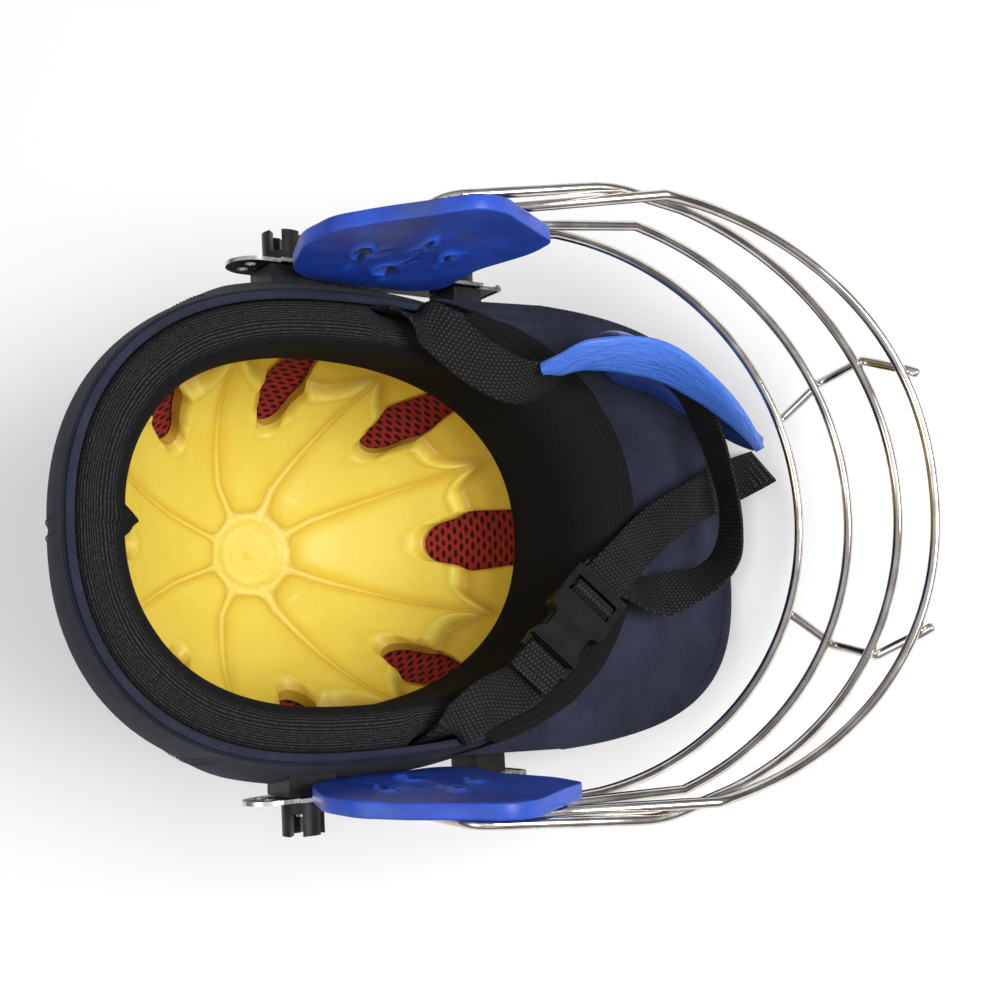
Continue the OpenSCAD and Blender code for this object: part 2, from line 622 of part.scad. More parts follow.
module grille_bar_top() {
    color(steel) wire(bar_path(top_bar, 30, [37, elbow_y, top_bar_z + 1], 86), wire_r);
}

module grille_bar_upper() {
    color(steel) wire(bar_path(upper_bar, 14, [22, elbow_y, upper_bar_z - 12], 76), wire_r);
}

module grille_bar_lower() {
    color(steel) wire(bar_path(lower_bar, -13, [-11, elbow_y, lower_bar_z - 17], 74, [bulge_pt]), wire_r);
}

module grille_bar_chin() {
    color(steel) wire(bar_path(chin_bar, 0, [2, elbow_y - fit, chin_bar_z - 55], 84), wire_r);
}

// Upright struts welded across the fronts of the four bars
function strut_pt(bar, y, past = 0) =
    let (phi = asin((y - bar[1] * sin(grille_yaw)) / bar[2]), p = oval_pt(bar, phi))
    let (out = unit([cos(phi) / (bar[1] - bar[0]), sin(phi) / bar[2], 0]))
    yawed(p + (2 * wire_r + gap + fit) * out + [0, 0, past]);
module strut(side) {
    y = side * strut_y;
    wire(rounded_path([strut_pt(top_bar, y, -2), strut_pt(top_bar, y), strut_pt(upper_bar, y * 1.3),
        strut_pt(lower_bar, y * 1.4), strut_pt(chin_bar, y * 1.14), strut_pt(chin_bar, y * 1.1, 3)],
        1, 2), wire_r);
}

module grille_struts() {
    color(steel) strut(1);
    color(steel) strut(-1);
}

// Side pads of foam, cut to a leaf shape and leaning out a little
pad_outline = [[-28, 0], [20, 0], [31, 8], [31, 34], [41, 60], [41, 73], [6, 92], [-6, 92], [-24, 73],
    [-43, 53], [-46, 34], [-38, 8]];
function soft_outline(pts, r, steps = 3) = let (n = len(pts)) [for (i = [0 : n - 1]) each
    let (p = pts[i], a = pts[(i + n - 1) % n] - p, b = pts[(i + 1) % n] - p)
    let (ra = min(r, norm(a) / 2.2), rb = min(r, norm(b) / 2.2))
    [for (k = [0 : steps]) let (t = k / steps)
        p + (1 - t) * (1 - t) * ra * unit(a) + t * t * rb * unit(b)]];
module side_pad() {
    shape = soft_outline(pad_outline, 7);
    mid = [0, 44];
    ring = function (grow, depth) [for (p = shape) let (q = p - mid)
        let (s = mid + q * (1 - grow / norm(q))) [s.x, depth, s.y]];
    color(blue) translate([0, plate_y - fit - pad_t, pad_z]) rotate([-pad_lean, 0, 0])
        tube([ring(1.6, 0), ring(0, 1.4), ring(0, pad_t - 1.4), ring(1.6, pad_t)]);
}

// Side strap anchors: the webbing runs down the channel between shell and headband to a rivet. The
// right webbing leans forward as it rises
rivet_z = -22;
rivet_r = 2;
rivet_head_t = 0.8;
strap_lean = 0.5;
strap_off = shell_in + facet_sag + strap_t / 2 + 1.2;
function side_pt(x, z) = [x, wall_y(x, z, strap_off), z];
function right_pt(z) = side_pt(right_anchor_x + strap_lean * (z - rivet_z), z);
function left_pt(z) = mirrored(side_pt(left_anchor_x, z));
function mirrored(p) = [p.x, -p.y, p.z];
function along_wall(x, lean) = let (d = strap_w / 2)
    unit([2 * d, wall_y(x + d, rivet_z, strap_off) - wall_y(x - d, rivet_z, strap_off), -2 * d * lean]);
module at_rivets() {
    translate([right_anchor_x, 0, rivet_z]) rotate([-90, 0, 0]) children();
    translate([left_anchor_x, 0, rivet_z]) rotate([90, 0, 0]) children();
}
module strap_rivet_holes() {
    at_rivets() cylinder(r = rivet_r + fit, h = plate_y, $fn = 24);
}
module strap_rivet(x) {
    start = side_pt(x, rivet_z).y - strap_t / 2 - gap - 3 * fit - rivet_head_t;
    translate([x, start, rivet_z]) rotate([-90, 0, 0]) {
        cylinder(r = 2 * rivet_r, h = rivet_head_t, $fn = 24);
        cylinder(r = rivet_r, h = wall_y(x, rivet_z, shell_out + facet_sag + fit) - start, $fn = 24);
    }
}
module strap_rivets() {
    color(steel) strap_rivet(right_anchor_x);
    color(steel) left() strap_rivet(left_anchor_x);
}

// Buckle: its own frame has X from the socket's mouth to the ladder, Y across and Z up
buckle_at = [85, -41, 9.5];
buckle_tilt = [-16, -2, 43];
module at_buckle() {
    translate(buckle_at) rotate(buckle_tilt) children();
}
function swung(p) = let (a = buckle_tilt.x, b = buckle_tilt.y, c = buckle_tilt.z)
    let (y = p.y * cos(a) - p.z * sin(a), z = p.y * sin(a) + p.z * cos(a))
    let (x = p.x * cos(b) + z * sin(b))
    [x * cos(c) - y * sin(c), x * sin(c) + y * cos(c), -p.x * sin(b) + z * cos(b)];
function in_buckle(x, z) = buckle_at + swung([x, 0, z]);
across_buckle = -swung([0, 1, 0]);
function same(v, n) = [for (i = [1 : n]) v];
socket_wall = 1.8;
ladder_l = 14;
ladder_t = 4;
ladder_bar = 2.4;
ladder_slot = 3.6;
plug_w = buckle_w - 8;
mouth_x = -buckle_l / 2;
body_end = buckle_l / 2 - ladder_l;
plug_bar = 3;
plug_slot = 2.4;
bar_mid = mouth_x - 0.4 - plug_slot - plug_bar / 2;
plug_t = buckle_t - 2 * socket_wall - 2 * gap;
module buckle_socket() {
    half = buckle_w / 2;
    body = [[mouth_x, -half + 2], [mouth_x + 4, -half + 2], [mouth_x + 6, -half + 5],
        [mouth_x + 15, -half + 5], [mouth_x + 17, -half], [body_end, -half], [body_end, half],
        [mouth_x + 17, half],
        [mouth_x + 15, half - 5], [mouth_x + 6, half - 5], [mouth_x + 4, half - 2], [mouth_x, half - 2]];
    color(plastic) at_buckle() {
        difference() {
            translate([0, 0, -buckle_t / 2]) linear_extrude(buckle_t) polygon(soft_outline(body, 1.5, 2));
            translate([mouth_x - 1, -plug_w / 2 - gap, -buckle_t / 2 + socket_wall])
                cube([body_end - socket_wall - mouth_x + 1, plug_w + 2 * gap, buckle_t - 2 * socket_wall]);
        }
        difference() {
            translate([body_end, -half, -ladder_t / 2]) cube([ladder_l, buckle_w, ladder_t]);
            for (k = [0, 1])
                translate([body_end + 0.01 + k * (ladder_slot + ladder_bar), -strap_w / 2 - 1, -ladder_t])
                    cube([ladder_slot, strap_w + 2, 2 * ladder_t]);
        }
    }
}

module buckle_plug() {
    prong_l = 17;
    color(plastic) at_buckle() translate([mouth_x - 0.4, 0, -plug_t / 2]) {
        translate([-plug_slot - plug_bar, -buckle_w / 2 + 2, 0.7])
            cube([plug_bar, buckle_w - 4, plug_t - 1.4]);
        for (side = [-1, 1])
            translate([-plug_slot - plug_bar, side * (buckle_w / 2 - 3) - 1, 0.7])
                cube([plug_slot + plug_bar + 0.2, 2, plug_t - 1.4]);
        translate([0, -buckle_w / 2 + 2, 0.7]) cube([0.2, buckle_w - 4, plug_t - 1.4]);
        translate([0, -plug_w / 2, 0]) cube([3, plug_w, plug_t]);
        for (side = [-1, 1])
            translate([1, side * (plug_w / 2 - 2) - 2, 0]) cube([prong_l, 4, plug_t]);
        translate([1, -1.5, 0]) cube([prong_l + 2, 3, plug_t]);
    }
}

// Right webbing: anchor, through the chin cup, a standing loop over its own tail, round the ladder's
// middle bar and out under its end bar as the tail
module chin_strap_right() {
    turn_x = body_end + ladder_slot / 2;
    bar_x = body_end + ladder_slot + ladder_bar / 2;
    top = ladder_t / 2 + strap_t / 2 + fit;
    leaning = along_wall(right_anchor_x, strap_lean);
    stations = [right_pt(-28), right_pt(-14), right_pt(-3), [8.5, 85.5, 3.2], [13, 83.4, 8],
        [20.5, 79.6, 9.6], [27.5, 73.8, 11.8], [36.4, 66.4, 14], [47.5, 60.5, 15.5], [57.5, 57.5, 17],
        [68.8, 59, 17.8], [82.3, 65.5, 19.2], [95, 71.5, 20], [112, 73, 20.3], [128, 70.3, 20.3],
        [142, 64.5, 20], [152, 57, 19.5], [158, 46, 19], [164, 30, 19.5], [167, 12, 21.5], [168, -4, 21],
        [165.5, -17, 18.5], [156, -26, 15], [144, -30, 11], [130, -33, 8], in_buckle(28, -5.4),
        in_buckle(17, -top - 2.6), in_buckle(11, -top - 1.6), in_buckle(turn_x, -1.2),
        in_buckle(turn_x + 0.1, 1.4), in_buckle(bar_x - 1.6, top + 0.1), in_buckle(bar_x + 0.8, top + 0.2),
        in_buckle(bar_x + 2.7, 1.7), in_buckle(bar_x + 3.1, -0.8), in_buckle(bar_x + 3.9, -top - 0.2),
        in_buckle(bar_x + 7, -top - 0.7), in_buckle(bar_x + 11, -top - 0.2), [112, -18, 8.4], [135, -2, 6.5],
        [158, 9, 6.2], [179, 18.5, 8], [200, 27, 13]];
    across = [leaning, leaning, leaning, [0.87, -0.07, -0.45], [0.87, 0.12, -0.25], [0.65, 0.7, 0.2],
        [0.5, 0.8, 0.34], [0.4, 0.85, 0.36], [0.22, 0.87, 0.44], [0.1, 0.8, 0.6], [0, 0.65, 0.75],
        [0, 0.35, 0.93], each same([0, 0, 1], 9), [0.1, -0.1, 1], [0.25, -0.3, 0.9], [0.4, -0.6, 0.6],
        [0.5, -0.7, 0.4], each same(across_buckle, 12), [0.6, -0.8, 0.15], [0.5, -0.86, 0.1],
        [0.45, -0.88, 0], [0.4, -0.88, 0.2], [0.4, -0.6, 0.6]];
    color(black) difference() {
        ribbon(stations, across, steps = 2);
        strap_rivet_holes();
    }
}

// Left webbing: anchor, along the band, round the plug's bar and folded back on itself
module chin_strap_left() {
    over = plug_t / 2 - 0.7 + strap_t / 2 + fit;
    upright = mirrored(along_wall(left_anchor_x, 0));
    stations = [left_pt(-28), left_pt(-14), left_pt(-3), [21, -83.6, 5], [27, -80, 7.5], [38, -73.5, 8.2],
        in_buckle(bar_mid - 14, -over - 1), in_buckle(bar_mid - 5, -over - 0.5),
        in_buckle(bar_mid - 0.4, -over - 0.2), in_buckle(bar_mid + 1.8, -over), in_buckle(bar_mid + 2.7, -1),
        in_buckle(bar_mid + 2.7, 1), in_buckle(bar_mid + 1.8, over), in_buckle(bar_mid - 0.4, over + 0.2),
        in_buckle(bar_mid - 5, over), in_buckle(bar_mid - 12, 0.6)];
    across = [upright, upright, upright, [1, 0, 0], [0.9, -0.5, 0], [0.8, -0.7, 0],
        each same(across_buckle, 10)];
    color(black) difference() {
        ribbon(stations, across, steps = 2);
        strap_rivet_holes();
    }
}

// Chin cup: a pod of two leaves joined along the far edge, each given by its far and near edges. The
// webbing lies between them and leaves over the lining's near edge
cup_far = [[61, 64, 26], [65, 66, 34], [73, 70.5, 44], [95.5, 72.5, 50], [115, 68.5, 52], [139, 56, 50],
    [161, 45, 42], [183, 32.5, 30]];
cup_near = [[64, 61.5, 24], [71.5, 61, 26], [80, 63, 28.5], [100, 63, 30], [121.5, 60.5, 30.5],
    [145.5, 53, 30.5], [172, 41, 28], [188, 33.5, 24]];
lining_far = [[88, 72.6, 49.5], [96, 72.5, 50], [104, 71, 50.6], [115, 68.5, 52], [139, 56, 50],
    [161, 45, 42], [175, 37, 36], [183, 32.5, 30]];
lining_near = [[95, 76, 22], [103, 76, 10], [111, 69, 4], [120, 62.7, 2.5], [139.5, 58.5, 2], [161, 49.5, 3],
    [180, 36.5, 12], [187, 31.5, 19]];
// How far each leaf's middle stands off the line between its edges, at each station
cup_bows = same(2, 8);
lining_bows = [-1, -3, -6, -10, -11, -9, -5, -4];
module leaf(far, near, bows, lift) {
    a = spline(far, 3);
    b = spline(near, 3);
    bow = spline([for (v = bows) [v]], 3);
    rows = function (side) [for (i = [0 : len(a) - 1])
        let (run = unit(a[min(i + 1, len(a) - 1)] - a[max(i - 1, 0)]))
        let (out = unit(cross(b[i] - a[i], run)))
        [for (k = [0, 0.2, 0.5, 0.8, 1])
            let (set = lerp(k, pow(k, 2), 0.7), lean = bow[i][0] * (1 - pow(2 * set - 1, 4)))
            lerp(a[i], b[i], k) + (lean - lift + side * cup_t / 2) * out]];
    sheet(rows(1), rows(-1));
}

module chin_cup_outer() {
    color(blue) leaf(cup_far, cup_near, cup_bows, 0);
}

module chin_cup_lining() {
    color(blue) leaf(lining_far, lining_near, lining_bows, cup_t + 2 * fit);
}

lay() outer_shell();
lay() shell_cover();
lay() rim_piping();
lay() peak_board();
lay() peak_cloth_under();
lay() peak_cloth_top();
lay() spacer_mesh();
lay() crown_liner();
lay() headband_pad();
lay() side_plate();  // side_plate_right
lay() left() side_plate();  // side_plate_left
lay() rear_spacers();
lay() front_spacers();
lay() side_screws();
lay() thumb_nut(rear_screw_x);  // thumb_nut_rear_right
lay() left() thumb_nut(rear_screw_x);  // thumb_nut_rear_left
lay() thumb_nut(front_screw_x);  // thumb_nut_front_right
lay() left() thumb_nut(front_screw_x);  // thumb_nut_front_left
lay() grille_bar_top();
lay() grille_bar_upper();
lay() grille_bar_lower();
lay() grille_bar_chin();
lay() grille_struts();
lay() side_pad();  // side_pad_right
lay() left() side_pad();  // side_pad_left
lay() chin_strap_right();
lay() chin_strap_left();
lay() strap_rivets();
lay() chin_cup_outer();
lay() chin_cup_lining();
lay() buckle_socket();
lay() buckle_plug();
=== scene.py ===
"""Looks of a batting helmet with a wire face guard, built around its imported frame.

Sizes are in millimetres in the helmet's own frame: X forward, Y to the wearer's right, Z from the
crown towards the head opening, with the rim plane at Z = 0. Lay.place() sets a point down in metres in
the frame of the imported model, where the helmet lies crown down on its dome and the edge of its peak.
"""
from __future__ import annotations

import json
import logging
import math
from dataclasses import dataclass, field
from enum import Enum
from typing import Callable, Iterable, Sequence

import bpy
import numpy as np
from mathutils import Matrix, Vector

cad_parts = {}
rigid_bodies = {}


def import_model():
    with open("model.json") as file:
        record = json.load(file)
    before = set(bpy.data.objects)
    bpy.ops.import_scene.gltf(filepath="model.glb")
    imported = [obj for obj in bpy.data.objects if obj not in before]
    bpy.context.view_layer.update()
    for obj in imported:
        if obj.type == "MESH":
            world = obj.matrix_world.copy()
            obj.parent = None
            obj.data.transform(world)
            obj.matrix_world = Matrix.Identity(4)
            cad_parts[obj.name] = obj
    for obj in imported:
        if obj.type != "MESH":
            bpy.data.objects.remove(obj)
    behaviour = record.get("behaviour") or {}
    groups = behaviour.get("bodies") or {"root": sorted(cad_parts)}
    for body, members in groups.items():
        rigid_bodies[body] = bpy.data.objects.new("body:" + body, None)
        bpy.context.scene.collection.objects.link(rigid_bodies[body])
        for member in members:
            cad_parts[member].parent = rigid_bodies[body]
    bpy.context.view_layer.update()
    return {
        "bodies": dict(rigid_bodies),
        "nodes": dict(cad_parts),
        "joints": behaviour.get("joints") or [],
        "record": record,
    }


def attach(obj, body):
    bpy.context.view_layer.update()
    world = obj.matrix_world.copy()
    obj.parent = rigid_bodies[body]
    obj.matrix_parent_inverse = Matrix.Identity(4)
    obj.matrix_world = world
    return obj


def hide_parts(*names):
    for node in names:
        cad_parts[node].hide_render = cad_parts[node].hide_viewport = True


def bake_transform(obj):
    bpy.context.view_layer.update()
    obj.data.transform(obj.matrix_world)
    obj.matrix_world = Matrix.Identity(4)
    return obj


LOG = logging.getLogger("helmet")
Piece = bpy.types.Object
Material = bpy.types.Material
Socket = bpy.types.NodeSocket
Point = tuple[float, float, float]
Rows = list[list[Sequence[float]]]
# Width and height of each ring of a tube's domed end, as shares of its radius.
DOMED_END = ((0.92, 0.35), (0.7, 0.6), (0.35, 0.72))
# Place along a stitch and thickness of each of its rings, as shares of its length and radius.
STITCH_RINGS = ((0.0, 0.35), (0.25, 1.0), (0.75, 1.0), (1.0, 0.35))
STITCH_SIDES = 5


class Body(Enum):
    """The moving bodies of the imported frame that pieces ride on."""

    HELMET = "helmet"
    GUARD = "face_guard"
    PLUG = "buckle_plug"


class Side(Enum):
    """Which side of the helmet a piece is on, as the sign of its Y."""

    RIGHT = 1
    LEFT = -1


# Small mathematics
def bend(v: float, p: float) -> float:
    """Return v raised to the power p with its sign kept."""
    return math.copysign(abs(v) ** p, v)


def lerp(a: float, b: float, t: float) -> float:
    """Return the value at the share t of the way from a to b."""
    return a + (b - a) * t


def smooth(edge0: float, edge1: float, x: float) -> float:
    """Return a smooth step from 0 at edge0 to 1 at edge1."""
    t = min(1.0, max(0.0, (x - edge0) / (edge1 - edge0)))
    return t * t * (3 - 2 * t)


def wave(*terms: float) -> float:
    """Return a repeatable value between -1 and 1, smooth in each of its terms."""
    total = sum(math.sin(t + 1.7 * math.sin(0.61 * t + k)) for k, t in enumerate(terms))
    return total / len(terms)


def hump(x: float, width: float) -> float:
    """Return a bell curve of height 1 at 0, which falls to about a third at the given width."""
    return math.exp(-(x / width) ** 2)


def vec(p: Sequence[float]) -> np.ndarray:
    """Return a point as an array of floats."""
    return np.array(p, float)


def turned(angle: float) -> tuple[float, float]:
    """Return the cosine and the sine of an angle in degrees."""
    return math.cos(math.radians(angle)), math.sin(math.radians(angle))


def unit(v: np.ndarray) -> np.ndarray:
    """Return v at length 1."""
    return v / (np.linalg.norm(v) + 1e-12)


def spline(points: Sequence[Sequence[float]], steps: int) -> list[np.ndarray]:
    """Run a smooth curve through points.

    Args:
        points: the points that the curve passes through.
        steps: how many stretches lie between two of them.

    Returns:
        The points of the curve, the given ones among them.
    """
    p = [vec(q) for q in points]
    n = len(p) - 1
    out = []
    for i in range(n):
        p0, p1, p2, p3 = p[max(i - 1, 0)], p[i], p[i + 1], p[min(i + 2, n)]
        for k in range(steps):
            t = k / steps
            out.append(0.5 * (2 * p1 + (p2 - p0) * t + (2 * p0 - 5 * p1 + 4 * p2 - p3) * t * t
                              + (3 * p1 - p0 - 3 * p2 + p3) * t ** 3))
    return out + [p[n]]


def headings(path: Sequence[np.ndarray]) -> list[np.ndarray]:
    """Return the direction of travel at each point of a path."""
    last = len(path) - 1
    return [unit(path[min(i + 1, last)] - path[max(i - 1, 0)]) for i in range(last + 1)]


def square_to(v: np.ndarray, t: np.ndarray) -> np.ndarray:
    """Return v turned square to the direction t."""
    return unit(v - np.dot(v, t) * t)


def rounded(line: Sequence[np.ndarray], reach: float, steps: int) -> list[np.ndarray]:
    """Round the corners of a line.

    Args:
        line: its ends and corners.
        reach: how far before and after a corner its bend lies.
        steps: how many stretches a bend has.

    Returns:
        The points of the rounded line.
    """
    out = [line[0]]
    for before, corner, after in zip(line, line[1:], line[2:]):
        a = corner + reach * unit(before - corner)
        b = corner + reach * unit(after - corner)
        for t in (k / steps for k in range(steps + 1)):
            out.append((1 - t) ** 2 * a + 2 * t * (1 - t) * corner + t * t * b)
    return out + [line[-1]]


@dataclass(frozen=True)
class Lay:
    """How the helmet lies: turned about Y, raised onto its rest line and centred."""

    angle: float = 45.4999
    height: float = 141.405
    shift: float = -41.9322

    def place(self, p: Sequence[float]) -> Point:
        """Lay a helmet point down.

        Args:
            p: the point in millimetres.

        Returns:
            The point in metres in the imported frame.
        """
        c, s = turned(self.angle)
        return ((p[0] * c + p[2] * s + self.shift) / 1000, p[1] / 1000,
                (-p[0] * s + p[2] * c + self.height) / 1000)

    def turn(self) -> Matrix:
        """Return the rotation part of the lay."""
        return Matrix.Rotation(math.radians(self.angle), 3, "Y")


LAY = Lay()


# Meshes
def linked(name: str, data: bpy.types.ID) -> Piece:
    """Make an object and link it to the scene.

    Args:
        name: its name.
        data: its mesh, lamp or camera.

    Returns:
        The object.
    """
    obj = bpy.data.objects.new(name, data)
    bpy.context.scene.collection.objects.link(obj)
    return obj


def finish_mesh(name: str, verts: np.ndarray, faces: list[tuple[int, ...]],
                uvs: dict[int, tuple[float, float]], wrap: tuple[float, float]) -> Piece:
    """Make a smooth mesh object with UV coordinates in millimetres.

    Args:
        name: the piece's name.
        verts: helmet points in millimetres.
        faces: vertex numbers of each face.
        uvs: where each vertex lies on its surface, in millimetres.
        wrap: how far round each way the surface closes on itself, 0 where it doesn't.

    Returns:
        The new object, linked to the scene.
    """
    mesh = bpy.data.meshes.new(name)
    mesh.from_pydata([LAY.place(v) for v in verts], [], faces)
    mesh.update()
    layer = mesh.uv_layers.new(name="surface")
    flat = np.zeros(len(mesh.loops) * 2, np.float32)
    for poly in mesh.polygons:
        us = [uvs[mesh.loops[k].vertex_index] for k in poly.loop_indices]
        for axis, span in enumerate(wrap):
            top = max(u[axis] for u in us)
            for k, u in zip(poly.loop_indices, us):
                v = u[axis]
                flat[2 * k + axis] = v + span if span and top - v > span / 2 else v
    layer.data.foreach_set("uv", flat)
    mesh.polygons.foreach_set("use_smooth", [True] * len(mesh.polygons))
    return linked(name, mesh)


def lofted(name: str, rows: Rows, *, ring: bool = False, closed: bool = False, caps: bool = False,
           skip: Callable[[int, int], bool] | None = None) -> Piece:
    """Skin a grid of points.

    Args:
        name: the piece's name.
        rows: rows of helmet points, all of one length.
        ring: whether each row closes on itself.
        closed: whether the last row joins the first.
        caps: whether the first and last row are filled.
        skip: tells for a cell, by column and row, whether it is left open.

    Returns:
        The piece.
    """
    grid = np.array(rows, float)
    m, n = grid.shape[:2]
    verts = grid.reshape(-1, 3)
    across = np.linalg.norm(np.diff(grid, axis=1, append=grid[:, :1]), axis=2)
    along = np.linalg.norm(np.diff(grid, axis=0, append=grid[:1]), axis=2)
    u = np.concatenate([np.zeros((1,)), np.cumsum(across.mean(0))])
    v = np.concatenate([np.zeros((1,)), np.cumsum(along.mean(1))])
    uvs = {j * n + i: (u[i], v[j]) for j in range(m) for i in range(n)}
    faces: list[tuple[int, ...]] = []
    for j in range(m if closed else m - 1):
        for i in range(n if ring else n - 1):
            if skip is None or not skip(i, j):
                a, b = j * n + i, j * n + (i + 1) % n
                c, d = ((j + 1) % m) * n + (i + 1) % n, ((j + 1) % m) * n + i
                faces.append((a, b, c, d))
    if caps:
        faces.append(tuple(range(n))[::-1])
        faces.append(tuple((m - 1) * n + i for i in range(n)))
    return finish_mesh(name, verts, faces, uvs, (u[n] if ring else 0.0, v[m] if closed else 0.0))


def joined(name: str, parts: Sequence[Piece]) -> Piece:
    """Merge several objects into one piece.

    Args:
        name: the piece's name.
        parts: the objects, which the piece takes up.

    Returns:
        The piece.
    """
    bpy.ops.object.select_all(action="DESELECT")
    for part in parts:
        part.select_set(True)
    bpy.context.view_layer.objects.active = parts[0]
    bpy.ops.object.join()
    parts[0].name = name
    parts[0].data.name = name
    return parts[0]


def shaded(obj: Piece, painted_shades: Sequence[float] | float) -> Piece:
    """Note the painted shade of each vertex: 0 in the open, 1 at the bottom of a crease or dent, and below 0
    for a painted highlight.

    Args:
        obj: the piece.
        painted_shades: one painted shade for each vertex, or one for all.

    Returns:
        The piece.
    """
    layer = obj.data.attributes.new("crease", "FLOAT", "POINT")
    layer.data.foreach_set("value", np.resize(np.array(painted_shades, np.float32), len(obj.data.vertices)))
    return obj


def tube(name: str, path: Sequence[np.ndarray], radius: float | Callable[[float], float], *,
         sides: int = 16, closed: bool = False, start: Sequence[float] = (0, 1, 0)) -> Piece:
    """Run a round tube along a path, with domed ends where it is open.

    Args:
        name: the piece's name.
        path: helmet points.
        radius: one radius, or a radius for each share of the path.
        sides: points round the tube.
        closed: whether the path closes on itself.
        start: a direction that isn't along the path at its start.

    Returns:
        The piece.
    """
    pts = [vec(p) for p in path]
    n = len(pts)
    if closed:
        dirs = [unit(pts[(i + 1) % n] - pts[i - 1]) for i in range(n)]
    else:
        dirs = headings(pts)
    up = square_to(vec(start), dirs[0])
    turns = [2 * math.pi * k / sides for k in range(sides)]
    rows: Rows = []
    for i, (p, t) in enumerate(zip(pts, dirs)):
        up = square_to(up, t)
        r = radius(i / (n - 1)) if callable(radius) else radius
        right = np.cross(t, up)
        rows.append([p + r * (math.cos(w) * up - math.sin(w) * right) for w in turns])
    if not closed:
        for end, sign in ((0, -1), (n - 1, 1)):
            ring, mid, t = rows[end if end == 0 else -1], pts[end], dirs[end]
            r = radius(end / (n - 1)) if callable(radius) else radius
            cap = [[mid + (q - mid) * wide + sign * r * high * t for q in ring] for wide, high in DOMED_END]
            rows = cap[::-1] + rows if end == 0 else rows + cap
    return lofted(name, rows, ring=True, closed=closed, caps=not closed)


def stitches(name: str, path: Sequence[np.ndarray], *, length: float = 2.4, pitch: float = 3.4,
             radius: float = 0.28) -> Piece:
    """Lay a row of thread stitches along a path.

    Args:
        name: the piece's name.
        path: helmet points on the surface.
        length: length of a stitch.
        pitch: distance from one stitch to the next.
        radius: radius of the thread.

    Returns:
        The piece.
    """
    pts = np.array([vec(p) for p in path])
    run = np.concatenate([[0], np.cumsum(np.linalg.norm(np.diff(pts, axis=0), axis=1))])

    def at(d: float) -> np.ndarray:
        """Return the point at the distance d along the path."""
        return np.array([np.interp(d, run, pts[:, k]) for k in range(3)])

    m, last = STITCH_SIDES, len(STITCH_RINGS) - 1
    verts: list[np.ndarray] = []
    faces: list[tuple[int, ...]] = []
    d = pitch / 2
    while d + length < run[-1]:
        a, b = at(d), at(d + length)
        t = unit(b - a)
        up = square_to(vec((0.3, 0.2, 1)), t)
        side = np.cross(t, up)
        base = len(verts)
        for k, r in STITCH_RINGS:
            for w in (2 * math.pi * q / m for q in range(m)):
                verts.append(a + (b - a) * k + radius * r * (math.cos(w) * up + math.sin(w) * side))
        for low in range(base, base + m * last, m):
            for q, nxt in ((q, (q + 1) % m) for q in range(m)):
                faces.append((low + q, low + nxt, low + m + nxt, low + m + q))
        faces.append(tuple(base + q for q in range(m))[::-1])
        faces.append(tuple(base + m * last + q for q in range(m)))
        d += pitch
    return finish_mesh(name, np.array(verts), faces, {k: (0.0, 0.0) for k in range(len(verts))}, (0.0, 0.0))


# Finishes
def opaque(colour: object) -> object:
    """Return a plain colour with its alpha, and anything else as it is."""
    return (*colour, 1.0) if isinstance(colour, tuple) and len(colour) == 3 else colour


def add_node(tree: bpy.types.NodeTree, kind: str, inputs: dict | None = None,
             **settings: object) -> bpy.types.Node:
    """Add a node to a tree.

    Args:
        tree: the tree.
        kind: the node's type.
        inputs: values or links by socket.
        settings: the node's properties by name.

    Returns:
        The node.
    """
    made = tree.nodes.new(kind)
    for key, value in settings.items():
        setattr(made, key, value)
    for key, value in (inputs or {}).items():
        if isinstance(value, Socket):
            tree.links.new(value, made.inputs[key])
        else:
            made.inputs[key].default_value = value
    return made


